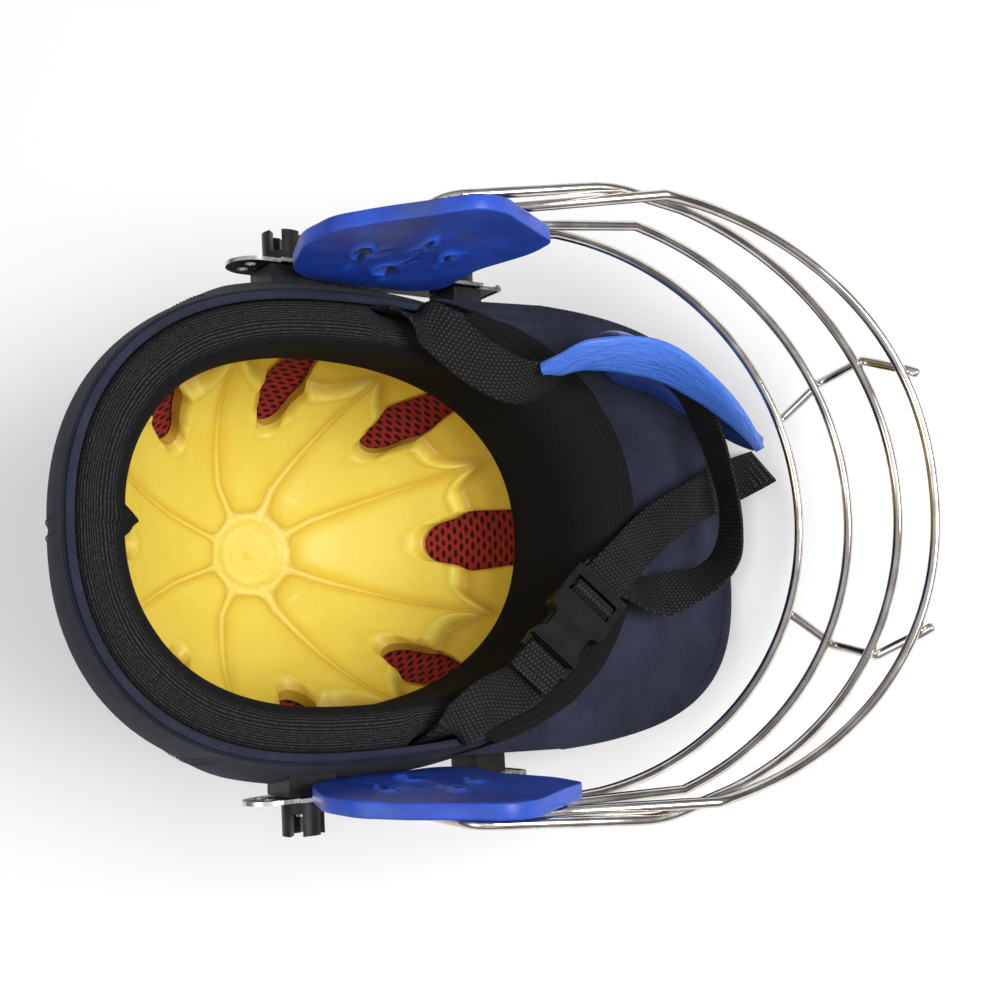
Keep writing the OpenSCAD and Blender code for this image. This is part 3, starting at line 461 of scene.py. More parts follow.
class Graph:
    """A material's node tree with short calls for the nodes that the finishes use."""

    def __init__(self, name: str, **sockets: object) -> None:
        """Make the material and set its shader's constants.

        Args:
            name: the material's name.
            sockets: values by the names of their sockets.
        """
        self.material = bpy.data.materials.new(name)
        self.material.use_nodes = True
        self.tree = self.material.node_tree
        self.shader = next(n for n in self.tree.nodes if n.type == "BSDF_PRINCIPLED")
        for key, value in sockets.items():
            self.shader.inputs[key.replace("_", " ")].default_value = value

    def node(self, kind: str, inputs: dict | None = None, **settings: object) -> bpy.types.Node:
        """Add a node to the material, as add_node does."""
        return add_node(self.tree, kind, inputs, **settings)

    def math(self, operation: str, a: object, b: object = 0.5) -> Socket:
        """Return the result of a math node."""
        return self.node("ShaderNodeMath", {0: a, 1: b}, operation=operation).outputs[0]

    def plus(self, a: object, b: object) -> Socket:
        """Return the sum of two values."""
        return self.math("ADD", a, b)

    def less(self, a: object, b: object) -> Socket:
        """Return what is left of a without b."""
        return self.math("SUBTRACT", a, b)

    def times(self, a: object, b: object) -> Socket:
        """Return the product of two values."""
        return self.math("MULTIPLY", a, b)

    def sine(self, value: object, pitch: float) -> Socket:
        """Return the sine of a value, with one wave in each pitch."""
        return self.math("SINE", self.times(value, 2 * math.pi / pitch))

    def surface(self) -> tuple[Socket, Socket]:
        """Add the surface coordinates.

        Returns:
            Both coordinates in millimetres.
        """
        uv = self.node("ShaderNodeUVMap", uv_map="surface").outputs[0]
        split = self.node("ShaderNodeSeparateXYZ", {0: uv})
        return split.outputs[0], split.outputs[1]

    def solid(self) -> Socket:
        """Return the place in the object, in metres."""
        return self.node("ShaderNodeTexCoord").outputs["Object"]

    def crease(self) -> Socket:
        """Return the painted shade noted on the mesh, high deep in a crease or dent and below 0 for a painted
        highlight.
        """
        return self.node("ShaderNodeAttribute", attribute_name="crease").outputs["Fac"]

    def noise(self, scale: float, detail: float = 3.0, rough: float = 0.55, where: object = None,
              distort: float = 0.0) -> Socket:
        """Add a noise texture.

        Args:
            scale: waves per metre, unless another place is given.
            detail: its octaves.
            rough: how strong the finer octaves are.
            where: the place it is read at, by default the place in the object.
            distort: how far the place is shaken.

        Returns:
            The noise value.
        """
        made = self.node("ShaderNodeTexNoise", {
            "Vector": self.solid() if where is None else where, "Scale": scale, "Detail": detail,
            "Roughness": rough, "Distortion": distort})
        return made.outputs[0]

    def ramp(self, value: object, low: float, high: float, a: float = 0.0,
             b: float = 1.0) -> Socket:
        """Map a value smoothly onto another range.

        Args:
            value: the value.
            low: where the result is a.
            high: where the result is b.
            a: the first result.
            b: the last result.

        Returns:
            The result.
        """
        made = self.node("ShaderNodeMapRange", {"Value": value, "From Min": low, "From Max": high,
                                                "To Min": a, "To Max": b}, interpolation_type="SMOOTHSTEP")
        return made.outputs[0]

    def mix(self, share: object, a: object, b: object) -> Socket:
        """Return the colour at the share of the way from a to b."""
        return self.node("ShaderNodeMix", {0: share, 6: opaque(a), 7: opaque(b)}, data_type="RGBA").outputs[2]

    def bump(self, height: object, depth: float, strength: float = 1.0,
             under: object = None) -> Socket:
        """Bump the normal by a height.

        Args:
            height: the height from 0 to 1.
            depth: metres from its 0 to its 1.
            strength: the share of the bump.
            under: a normal that is bumped already.

        Returns:
            The new normal.
        """
        inputs = {"Height": height, "Distance": depth, "Strength": strength}
        if under is not None:
            inputs["Normal"] = under
        return self.node("ShaderNodeBump", inputs).outputs[0]

    def drive(self, **sockets: object) -> Material:
        """Link values to the shader.

        Args:
            sockets: values by the names of their sockets.

        Returns:
            The material.
        """
        for key, value in sockets.items():
            self.tree.links.new(value, self.shader.inputs[key.replace("_", " ")])
        return self.material


@dataclass(frozen=True)
class Twill:
    """Fine cotton twill, as on the cover and the peak."""

    name: str = "navy_twill"
    dark: Point = (0.015, 0.017, 0.032)
    light: Point = (0.034, 0.038, 0.068)
    pitch: float = 0.8

    def make(self) -> Material:
        """Make the material.

        Returns:
            The material.
        """
        g = Graph(self.name, Roughness=0.88, Sheen_Weight=0.05, Sheen_Roughness=0.5, Specular_IOR_Level=0.14)
        x, y = g.surface()
        rib = g.sine(g.plus(x, g.times(y, 1.7)), 2 * self.pitch)
        thread = g.sine(g.less(x, y), self.pitch)
        weave = g.plus(g.times(rib, 0.6), g.times(thread, 0.4))
        fade = g.noise(38, 4)
        slub = g.noise(900, 2)
        tone = g.ramp(g.plus(g.times(fade, 0.75), g.times(slub, 0.35)), 0.35, 0.75)
        lit = g.plus(g.times(tone, 0.8), g.times(weave, 0.16))
        folds = g.bump(g.noise(26, 3), 0.0012, 0.7)
        bumped = g.bump(weave, 0.00012, 0.6, folds)
        return g.drive(Base_Color=g.mix(lit, self.dark, self.light), Normal=bumped)


@dataclass(frozen=True)
class Knit:
    """Black ribbed knit over foam, as on the headband."""

    name: str = "black_knit"
    dark: Point = (0.006, 0.006, 0.0062)
    light: Point = (0.052, 0.051, 0.054)
    rib: float = 1.45
    loop: float = 0.9
    first: float = 38.0
    last: float = 65.0
    brow: float = 18.0
    brow_fade: float = 18.0

    def ribs(self, g: Graph) -> Socket:
        """Add the ribs of the knit, which fade out down the roll and at the brow.

        Args:
            g: the material's graph.

        Returns:
            How strong the rib is at a place.
        """
        x, _ = g.surface()
        wander = g.times(g.less(g.noise(60, 2), 0.5), 0.9)
        wales = g.sine(g.plus(x, wander), self.rib)
        c, s = turned(LAY.angle)
        forward = (1000 * c, 0, -1000 * s)
        dot = g.node("ShaderNodeVectorMath", {0: g.solid(), 1: forward}, operation="DOT_PRODUCT")
        ahead = g.plus(dot.outputs["Value"], LAY.height * s - LAY.shift * c)
        zone = g.times(g.ramp(x, self.first, self.first + 3), g.ramp(x, self.last, self.last + 5, 1.0, 0.12))
        zone = g.times(zone, g.ramp(ahead, self.brow, self.brow + self.brow_fade, 1.0, 0.1))
        zone = g.times(zone, g.ramp(g.noise(1200, 2, 0.8), 0.36, 0.66, 0.3, 1.25))
        return g.times(g.ramp(wales, -0.6, 0.8), zone)

    def make(self) -> Material:
        """Make the material.

        Returns:
            The material.
        """
        g = Graph(self.name, Roughness=0.95, Sheen_Weight=0.01, Sheen_Roughness=0.6, Specular_IOR_Level=0.03)
        ribbed = self.ribs(g)
        loops = g.sine(g.surface()[1], self.loop)
        lint = g.ramp(g.noise(1500, 2, 0.7), 0.62, 0.78)
        fuzz = g.noise(700, 3, 0.7)
        tone = g.plus(g.times(ribbed, g.ramp(fuzz, 0.2, 0.8, 0.5, 1.15)),
                      g.plus(g.times(lint, 0.5), g.times(fuzz, 0.14)))
        bumped = g.bump(ribbed, 0.00035, 0.7)
        bumped = g.bump(g.plus(fuzz, g.times(loops, 0.12)), 0.0003, 0.6, bumped)
        return g.drive(Base_Color=g.mix(tone, self.dark, self.light), Normal=bumped)


@dataclass(frozen=True)
class Webbing:
    """Ribbed nylon webbing."""

    name: str = "black_webbing"
    dark: Point = (0.0035, 0.0035, 0.0037)
    light: Point = (0.026, 0.026, 0.027)
    pick: float = 1.9
    grain: float = 1.7

    def make(self) -> Material:
        """Make the material.

        Returns:
            The material.
        """
        g = Graph(self.name, Roughness=0.62, Specular_IOR_Level=0.18)
        x, y = g.surface()
        row = g.math("FLOOR", g.math("DIVIDE", y, self.pick))
        slide = g.plus(g.math("DIVIDE", x, self.grain), g.times(g.math("MODULO", row, 2.0), 0.5))
        grain = g.math("ABSOLUTE", g.sine(slide, 2))
        pick = g.math("ABSOLUTE", g.sine(y, 2 * self.pick))
        cloth = g.times(g.math("POWER", grain, 0.6), g.math("POWER", pick, 0.6))
        thread = g.noise(1800, 2)
        tone = g.times(cloth, g.ramp(g.plus(thread, g.noise(90, 2)), 0.6, 1.4, 0.35, 1.05))
        rough = g.ramp(cloth, 0.0, 1.0, 0.8, 0.5)
        bumped = g.bump(cloth, 0.0005, 1.0)
        return g.drive(Base_Color=g.mix(tone, self.dark, self.light), Roughness=rough,
                       Normal=g.bump(thread, 0.0001, 0.4, bumped))


@dataclass(frozen=True)
class OpenKnit:
    """Red spacer mesh with rows of dark holes."""

    name: str = "red_open_knit"
    red: Point = (0.40, 0.028, 0.022)
    deep: Point = (0.030, 0.003, 0.003)
    across: float = 4.7
    down: float = 3.1
    hole_r: float = 0.85
    edge_r: float = 1.25
    yarn: float = 0.55

    def make(self) -> Material:
        """Make the material.

        Returns:
            The material.
        """
        g = Graph(self.name, Roughness=0.7, Sheen_Weight=0.05, Specular_IOR_Level=0.2)
        x, y = g.surface()
        v = g.math("DIVIDE", y, self.down)
        row = g.math("FLOOR", v)
        u = g.plus(g.math("DIVIDE", x, self.across), g.times(g.math("MODULO", row, 2.0), 0.5))
        dx = g.times(g.less(g.math("FRACT", u), 0.5), self.across / 1.5)
        dy = g.times(g.less(g.math("FRACT", v), 0.5), self.down)
        far = g.math("SQRT", g.plus(g.times(dx, dx), g.times(dy, dy)))
        ring = g.ramp(g.plus(far, g.times(g.noise(900, 2), 0.25)), self.hole_r, self.edge_r)
        yarn = g.sine(g.plus(x, g.times(y, 0.4)), self.yarn)
        tone = g.times(ring, g.ramp(g.plus(yarn, g.noise(1200, 2)), -1.2, 1.6, 0.55, 1.0))
        bumped = g.bump(ring, 0.0009, 0.9)
        return g.drive(Base_Color=g.mix(tone, self.deep, self.red), Normal=g.bump(yarn, 0.00012, 0.5, bumped))


@dataclass(frozen=True)
class MouldedFoam:
    """Soft foam with a moulded skin, with painted shade in its creases and a painted highlight on its ribs.
    """

    name: str
    light: Point
    dark: Point
    # Colour of the painted shade in creases, on the shelf past the lips and on the slot walls.
    deep: Point
    # Colour of the painted highlight on the ribs, which the boss is also mixed towards a little.
    pale: Point
    gloss: float = 0.42
    grain: float = 1600.0
    dent: float = 0.00006

    def make(self) -> Material:
        """Make the material.

        Returns:
            The material.
        """
        g = Graph(self.name, Specular_IOR_Level=0.4, Coat_Weight=0.06, Coat_Roughness=0.5)
        cloud = g.noise(34, 4, 0.6)
        speck = g.noise(420, 3, 0.7)
        fine = g.noise(self.grain, 2)
        tone = g.ramp(g.plus(g.times(cloud, 0.7), g.times(speck, 0.3)), 0.32, 0.66)
        rough = g.ramp(speck, 0.3, 0.7, self.gloss - 0.05, self.gloss + 0.1)
        waves = g.bump(cloud, 0.0006, 0.35)
        crease = g.crease()
        # Painted shade: mixed towards the deep colour by the crease noted on the mesh.
        colour = g.mix(g.times(crease, 0.85), g.mix(tone, self.dark, self.light), self.deep)
        # Painted highlight: mixed towards the pale colour where the noted crease is below 0.
        colour = g.mix(g.ramp(crease, -0.8, 0.0, 0.6, 0.0), colour, self.pale)
        return g.drive(Base_Color=colour, Roughness=rough, Normal=g.bump(fine, self.dent, 0.5, waves))


@dataclass(frozen=True)
class PadFoam:
    """Blue closed-cell foam of the side pads, darker where it is rubbed, muddy where it is torn with painted
    shade deep in the dents, and with a painted highlight on the lifted flaps.
    """

    name: str = "blue_pad_foam"
    blue: Point = (0.010, 0.042, 0.34)
    pale: Point = (0.020, 0.085, 0.55)
    rubbed: Point = (0.040, 0.070, 0.22)
    # Muddy colour of the torn foam, which also serves as painted shade deep in the dents.
    open: Point = (0.046, 0.060, 0.115)
    # Painted highlight on the flaps that stand up round the dents.
    painted_flap_highlight: Point = (0.014, 0.11, 0.74)

    def make(self) -> Material:
        """Make the material.

        Returns:
            The material.
        """
        g = Graph(self.name, Specular_IOR_Level=0.45, Coat_Weight=0.08, Coat_Roughness=0.35)
        cell = g.noise(1300, 3, 0.7)
        cloud = g.noise(55, 4, 0.6)
        worn = g.ramp(g.plus(g.noise(30, 2, 0.5), g.times(cell, 0.08)), 0.60, 0.74, 0.0, 0.75)
        blue = g.mix(g.ramp(g.plus(cloud, g.times(cell, 0.3)), 0.4, 0.95), self.blue, self.pale)
        torn = g.crease()
        # Muddy torn foam, darkened as painted shade deep in the dents.
        face = g.mix(g.ramp(torn, 0.25, 0.8), g.mix(worn, blue, self.rubbed), self.open)
        # Painted highlight on the lifted flaps.
        face = g.mix(g.ramp(torn, -0.4, -0.05, 1.0, 0.0), face, self.painted_flap_highlight)
        rough = g.ramp(cell, 0.3, 0.7, 0.34, 0.52)
        soft = g.bump(g.noise(170, 3), 0.0005, 0.4)
        return g.drive(Base_Color=face, Roughness=rough, Normal=g.bump(cell, 0.00012, 0.5, soft))


@dataclass(frozen=True)
class Leatherette:
    """Creased blue coated cloth of the chin cup."""

    name: str = "blue_leatherette"
    blue: Point = (0.030, 0.13, 0.66)
    # Colour of the painted highlight along the raised creases.
    pale: Point = (0.10, 0.28, 0.86)

    def make(self) -> Material:
        """Make the material.

        Returns:
            The material.
        """
        g = Graph(self.name, Specular_IOR_Level=0.5, Coat_Weight=0.18, Coat_Roughness=0.25)
        x, y = g.surface()
        streak = g.node("ShaderNodeCombineXYZ", {0: g.times(x, 2.2), 1: g.times(y, 0.3)})
        creases = g.noise(0.35, 5, 0.62, streak.outputs[0], 0.8)
        fine = g.noise(1500, 3, 0.6)
        # Paler where the creases rise: painted highlight.
        tone = g.ramp(g.plus(creases, g.times(fine, 0.12)), 0.3, 0.95, 0.12, 0.72)
        rough = g.ramp(fine, 0.3, 0.7, 0.24, 0.4)
        bumped = g.bump(creases, 0.0012, 0.8)
        return g.drive(Base_Color=g.mix(tone, self.blue, self.pale), Roughness=rough,
                       Normal=g.bump(fine, 0.00018, 0.6, bumped))


@dataclass(frozen=True)
class Metal:
    """Bare or plated metal with fine marks."""

    name: str
    bright: Point
    dull: Point
    gloss: float = 0.14
    marks: float = 0.00002

    def make(self) -> Material:
        """Make the material.

        Returns:
            The material.
        """
        g = Graph(self.name, Metallic=1.0)
        blotch = g.noise(70, 3, 0.5)
        fine = g.noise(2400, 2)
        tone = g.ramp(g.plus(blotch, g.times(fine, 0.2)), 0.42, 0.78)
        rough = g.ramp(g.plus(blotch, g.times(fine, 0.4)), 0.4, 1.0, self.gloss - 0.05, self.gloss + 0.14)
        return g.drive(Base_Color=g.mix(tone, self.dull, self.bright), Roughness=rough,
                       Normal=g.bump(fine, self.marks, 0.5))


@dataclass(frozen=True)
class PaintedPlate:
    """Black gloss paint on a steel plate whose cut edges show bare metal."""

    name: str = "black_painted_steel"
    black: Point = (0.008, 0.008, 0.0085)
    bare: Point = (0.55, 0.54, 0.52)

    def make(self) -> Material:
        """Make the material.

        Returns:
            The material.
        """
        g = Graph(self.name, Coat_Weight=0.3, Coat_Roughness=0.12)
        normal = g.node("ShaderNodeTexCoord").outputs["Normal"]
        flat = g.math("ABSOLUTE", g.node("ShaderNodeSeparateXYZ", {0: normal}).outputs[1])
        chips = g.times(g.less(g.noise(900, 3, 0.7), 0.5), 0.2)
        edge = g.ramp(g.plus(flat, chips), 0.55, 0.85, 1.0, 0.0)
        scuff = g.ramp(g.noise(260, 4, 0.7), 0.62, 0.74, 0.0, 0.25)
        paint = g.mix(scuff, self.black, (0.06, 0.06, 0.06))
        rough = g.ramp(g.noise(300, 3), 0.3, 0.7, 0.18, 0.34)
        return g.drive(Base_Color=g.mix(edge, paint, self.bare), Metallic=edge, Roughness=rough,
                       Normal=g.bump(g.noise(1500, 2), 0.00003, 0.5))


@dataclass(frozen=True)
class MouldedPlastic:
    """Black moulded plastic with a faint grain."""

    name: str
    tone: Point = (0.012, 0.012, 0.0125)
    high: Point = (0.028, 0.028, 0.029)
    gloss: float = 0.32
    shine: float = 0.16

    def make(self) -> Material:
        """Make the material.

        Returns:
            The material.
        """
        g = Graph(self.name, Specular_IOR_Level=self.shine)
        grain = g.noise(1900, 3, 0.6)
        cloud = g.noise(150, 3)
        rough = g.ramp(grain, 0.3, 0.7, self.gloss - 0.04, self.gloss + 0.12)
        tone = g.ramp(g.plus(cloud, g.times(grain, 0.3)), 0.4, 0.95)
        return g.drive(Base_Color=g.mix(tone, self.tone, self.high), Roughness=rough,
                       Normal=g.bump(grain, 0.00004, 0.6))


@dataclass
class Finishes:
    """Every finish of the helmet, made once."""

    twill: Material = field(default_factory=Twill().make)
    # A darker copy of the navy twill, as painted shade on the cover.
    cover: Material = field(default_factory=Twill(
        "navy_twill_cover", (0.009, 0.0105, 0.019), (0.020, 0.023, 0.041)).make)
    knit: Material = field(default_factory=Knit().make)
    webbing: Material = field(default_factory=Webbing().make)
    mesh: Material = field(default_factory=OpenKnit().make)
    # Yellow foam: the third colour is painted shade for its creases, the fourth a painted highlight for its
    # ribs.
    foam: Material = field(default_factory=MouldedFoam(
        "yellow_foam", (0.92, 0.74, 0.115), (0.88, 0.67, 0.085), (0.62, 0.36, 0.03), (0.93, 0.82, 0.32)).make)
    pad: Material = field(default_factory=PadFoam().make)
    cup: Material = field(default_factory=Leatherette().make)
    # A darker copy of the blue leatherette, as painted shade on the cup's lower leaf inside the pod.
    cup_painted_shade: Material = field(default_factory=Leatherette(
        "blue_leatherette_inside", (0.015, 0.05, 0.30), (0.04, 0.10, 0.42)).make)
    chrome: Material = field(default_factory=Metal(
        "polished_wire", (0.72, 0.69, 0.65), (0.52, 0.47, 0.43), 0.08).make)
    steel: Material = field(default_factory=Metal(
        "zinc_steel", (0.66, 0.66, 0.68), (0.46, 0.46, 0.48), 0.3, 0.00004).make)
    plate: Material = field(default_factory=PaintedPlate().make)
    plastic: Material = field(default_factory=MouldedPlastic("black_plastic").make)
    buckle: Material = field(default_factory=MouldedPlastic(
        "buckle_plastic", (0.006, 0.006, 0.0065), (0.013, 0.013, 0.0135), 0.4, 0.07).make)
    shell: Material = field(default_factory=MouldedPlastic(
        "shell_plastic", (0.014, 0.016, 0.03), (0.03, 0.034, 0.055), 0.3).make)
    thread: Material = field(default_factory=Twill(
        "navy_thread", (0.02, 0.021, 0.035), (0.06, 0.062, 0.09), 0.5).make)
    tack: Material = field(default_factory=Twill(
        "grey_thread", (0.10, 0.095, 0.095), (0.24, 0.23, 0.23), 0.5).make)


def dress(obj: Piece, material: Material, body: Body | None,
          replaces: Iterable[str] = ()) -> Piece:
    """Give a piece its material and let it ride on a body.

    Args:
        obj: the piece.
        material: its finish.
        body: the body that it rides on, or None where it is left on none.
        replaces: the solids that it stands for.

    Returns:
        The piece.
    """
    obj.data.materials.clear()
    obj.data.materials.append(material)
    if body is not None:
        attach(obj, body.value)
    names = list(replaces)
    if names:
        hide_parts(*names)
    LOG.info("piece %s, %d faces", obj.name, len(obj.data.polygons))
    return obj


# The wall of the helmet and its layers
@dataclass
class Wall:
    """The egg-shaped wall that every layer of the helmet follows."""

    back: float = 119.0
    front: float = 137.0
    half_w: float = 100.0
    depth: float = 147.0
    crown_x: float = -10.0
    bulge_depth: float = 37.0
    tuck: float = 7.0
    plan_power: float = 2.2
    front_power: float = 2.3
    side_power: float = 2.1
    back_power: float = 1.75
    rim_back_z: float = 2.0
    rim_front_z: float = -4.0

    def rim_z(self, a: float) -> float:
        """Return the height of the rim at azimuth a in degrees."""
        return lerp(self.rim_back_z, self.rim_front_z, (1 + math.cos(math.radians(a))) / 2)

    def power(self, a: float) -> float:
        """Return the squareness of the profile at azimuth a."""
        c, s = turned(a)
        return lerp(self.front_power if c > 0 else self.back_power, self.side_power, s * s)

    def at(self, a: float, z: float, off: float) -> np.ndarray:
        """Find a point of the wall.

        Args:
            a: azimuth in degrees, 0 at the front and 90 on the right.
            z: height.
            off: how far inside the cover's outer face.

        Returns:
            The point.
        """
        c, s = turned(a)
        length = (self.front if c > 0 else self.back) - off
        half = self.half_w - off
        wide_z = -self.bulge_depth * s * s
        deep = self.depth - off + wide_z
        n = self.power(a)
        if z < wide_z:
            k = max(0.0, 1 - ((wide_z - z) / deep) ** n) ** (1 / n) if z > wide_z - deep else 0.0
        else:
            k = 1 - self.tuck / half * (s * (z - wide_z) / self.bulge_depth) ** 2
        return vec((self.crown_x + length * k * bend(c, 2 / self.plan_power),
                    half * k * bend(s, 2 / self.plan_power), z))

    def fall(self, start: float, s: float, off: float) -> float:
        """Return the height at the share s of the way from the start height to the crown."""
        return start - (self.depth - off + start) * math.sin(math.pi / 2 * s) ** 0.87

    def shrunk(self, a: float, k: float, off: float) -> np.ndarray:
        """Find the point of the wall at a share of its greatest plan.

        Args:
            a: azimuth.
            k: the share of the plan.
            off: how far inside the cover's outer face.

        Returns:
            The point.
        """
        s = math.sin(math.radians(a))
        wide_z, n = -self.bulge_depth * s * s, self.power(a)
        z = wide_z - (self.depth - off + wide_z) * (1 - min(k, 1.0) ** n) ** (1 / n)
        return self.at(a, z, off)

    def crown_z(self, x: float, y: float, off: float) -> float:
        """Find the height of the wall near the crown.

        Args:
            x: the place along the helmet.
            y: the place across it.
            off: how far inside the cover's outer face.

        Returns:
            The height.
        """
        u = (x - self.crown_x) / ((self.front if x > self.crown_x else self.back) - off)
        v = y / (self.half_w - off)
        return float(self.shrunk(math.degrees(math.atan2(v, u)), math.hypot(u, v), off)[2])

    def y_at(self, x: float, z: float, off: float) -> float:
        """Return the half width of the wall at a place along the helmet and a height."""
        pts = sorted(self.at(a, z, off)[:2].tolist() for a in range(30, 151, 2))
        return float(np.interp(x, [p[0] for p in pts], [p[1] for p in pts]))


@dataclass
class Layers:
    """Where each layer of the wall lies, as distances in from the cloth's outer face."""

    cloth: float = 1.0
    fit: float = 0.2
    shell: float = 3.0
    sag: float = 0.8
    mesh: float = 2.4
    liner: float = 7.4

    @property
    def shell_out(self) -> float:
        """Outer face of the moulded shell."""
        return self.cloth + self.fit

    @property
    def shell_in(self) -> float:
        """Inner face of the moulded shell."""
        return self.shell_out + self.shell

    @property
    def mesh_out(self) -> float:
        """Outer face of the spacer mesh."""
        return self.shell_in + self.sag

    @property
    def liner_out(self) -> float:
        """Outer face of the liner."""
        return self.mesh_out + self.mesh + self.sag + self.fit

    @property
    def liner_in(self) -> float:
        """Inner face of the liner's plain solid."""
        return self.liner_out + self.liner


@dataclass
class Cover:
    """The cloth skin over the shell, with its panel seams and the piping along the rim."""

    wall: Wall
    layers: Layers
    finishes: Finishes
    columns: int = 192
    rows: int = 72
    seams: tuple[float, ...] = (0.0, 60.0, 120.0, 180.0, 240.0, 300.0)
    mean_r: float = 110.0
    seam_depth: float = 0.55
    seam_ridge: float = 0.22
    stitch_gap: float = 2.3
    stitch_points: int = 60
    piping_r: float = 1.5
    piping_points: int = 240
    loose: float = 2.3

    def seam_drop(self, a: float, s: float) -> float:
        """Find how far the cloth dips at the seams.

        Args:
            a: azimuth.
            s: share of the way to the crown.

        Returns:
            The dip.
        """
        round_r = self.mean_r * max(0.06, math.cos(s * math.pi / 2))
        near = min(abs((a - q + 180) % 360 - 180) for q in self.seams)
        d = math.radians(near) * round_r
        return self.seam_depth * hump(d, 0.9) - self.seam_ridge * hump(d - 2.4, 1.6)

    def slack(self, a: float, s: float) -> float:
        """Return how far the cloth stands off the shell beside the side plates."""
        beside = smooth(33, 20, abs(abs(180 - a) - 90))
        return self.loose * beside * smooth(0.0, 0.05, s) * smooth(0.5, 0.3, s)

    def dome(self) -> Piece:
        """Make the skin from the crown to its turned edge.

        Returns:
            The piece.
        """
        azimuths = [360 * i / self.columns for i in range(self.columns)]
        rows: Rows = []
        for j in range(self.rows + 1):
            s = 0.995 * (1 - j / self.rows)
            row = []
            for a in azimuths:
                fold = 0.22 * wave(a / 9 + 3 * s, 7 * s + a / 31) * smooth(0, 0.12, s)
                off = 0.15 + max(0.0, self.seam_drop(a, s)) + fold * 0.5 - self.slack(a, s)
                row.append(self.wall.at(a, self.wall.fall(self.wall.rim_z(a), s, off), off))
            rows.append(row)
        inside = self.layers.shell_in
        for off, lift in ((0.1, 0.4), (0.5, 0.95), (1.2, 1.2), (inside, 1.2), (inside, 0.3)):
            rows.append([self.wall.at(a, self.wall.rim_z(a) + lift, off) for a in azimuths])
        return lofted("cloth_cover", rows, ring=True)

    def seam_threads(self) -> Piece:
        """Sew the rows of stitches either side of the panel seams.

        Returns:
            The piece.
        """
        rows = []
        for q in self.seams:
            for side in (-1, 1):
                path = []
                for k in range(self.stitch_points):
                    s = 0.02 + 0.90 * k / (self.stitch_points - 1)
                    round_r = self.mean_r * max(0.08, math.cos(s * math.pi / 2))
                    a = q + math.degrees(side * self.stitch_gap / round_r)
                    z = self.wall.fall(self.wall.rim_z(a), s, 0)
                    path.append(self.wall.at(a, z, -0.05 - self.slack(a, s)))
                rows.append(stitches(f"seam_{q:.0f}_{side}", path))
        return joined("cover_seam_stitches", rows)

    def piping(self) -> Piece:
        """Make the covered cord along the rim.

        Returns:
            The piece.
        """
        lift = self.layers.fit + self.layers.cloth + self.piping_r + 0.1
        inside = self.layers.shell_in - self.piping_r
        path = []
        for a in (360 * i / self.piping_points for i in range(self.piping_points)):
            path.append(self.wall.at(a, self.wall.rim_z(a) + lift, inside))
        return tube("rim_piping_cord", path, self.piping_r, sides=14, closed=True, start=(0, 0, 1))

    def build(self) -> None:
        """Build and dress the cover."""
        f = self.finishes
        # The cover wears the darker twill, as painted shade.
        skin = dress(self.dome(), f.cover, Body.HELMET, ("shell_cover",))
        dress(self.seam_threads(), f.thread, Body.HELMET)
        dress(self.piping(), f.twill, Body.HELMET, ("rim_piping",))


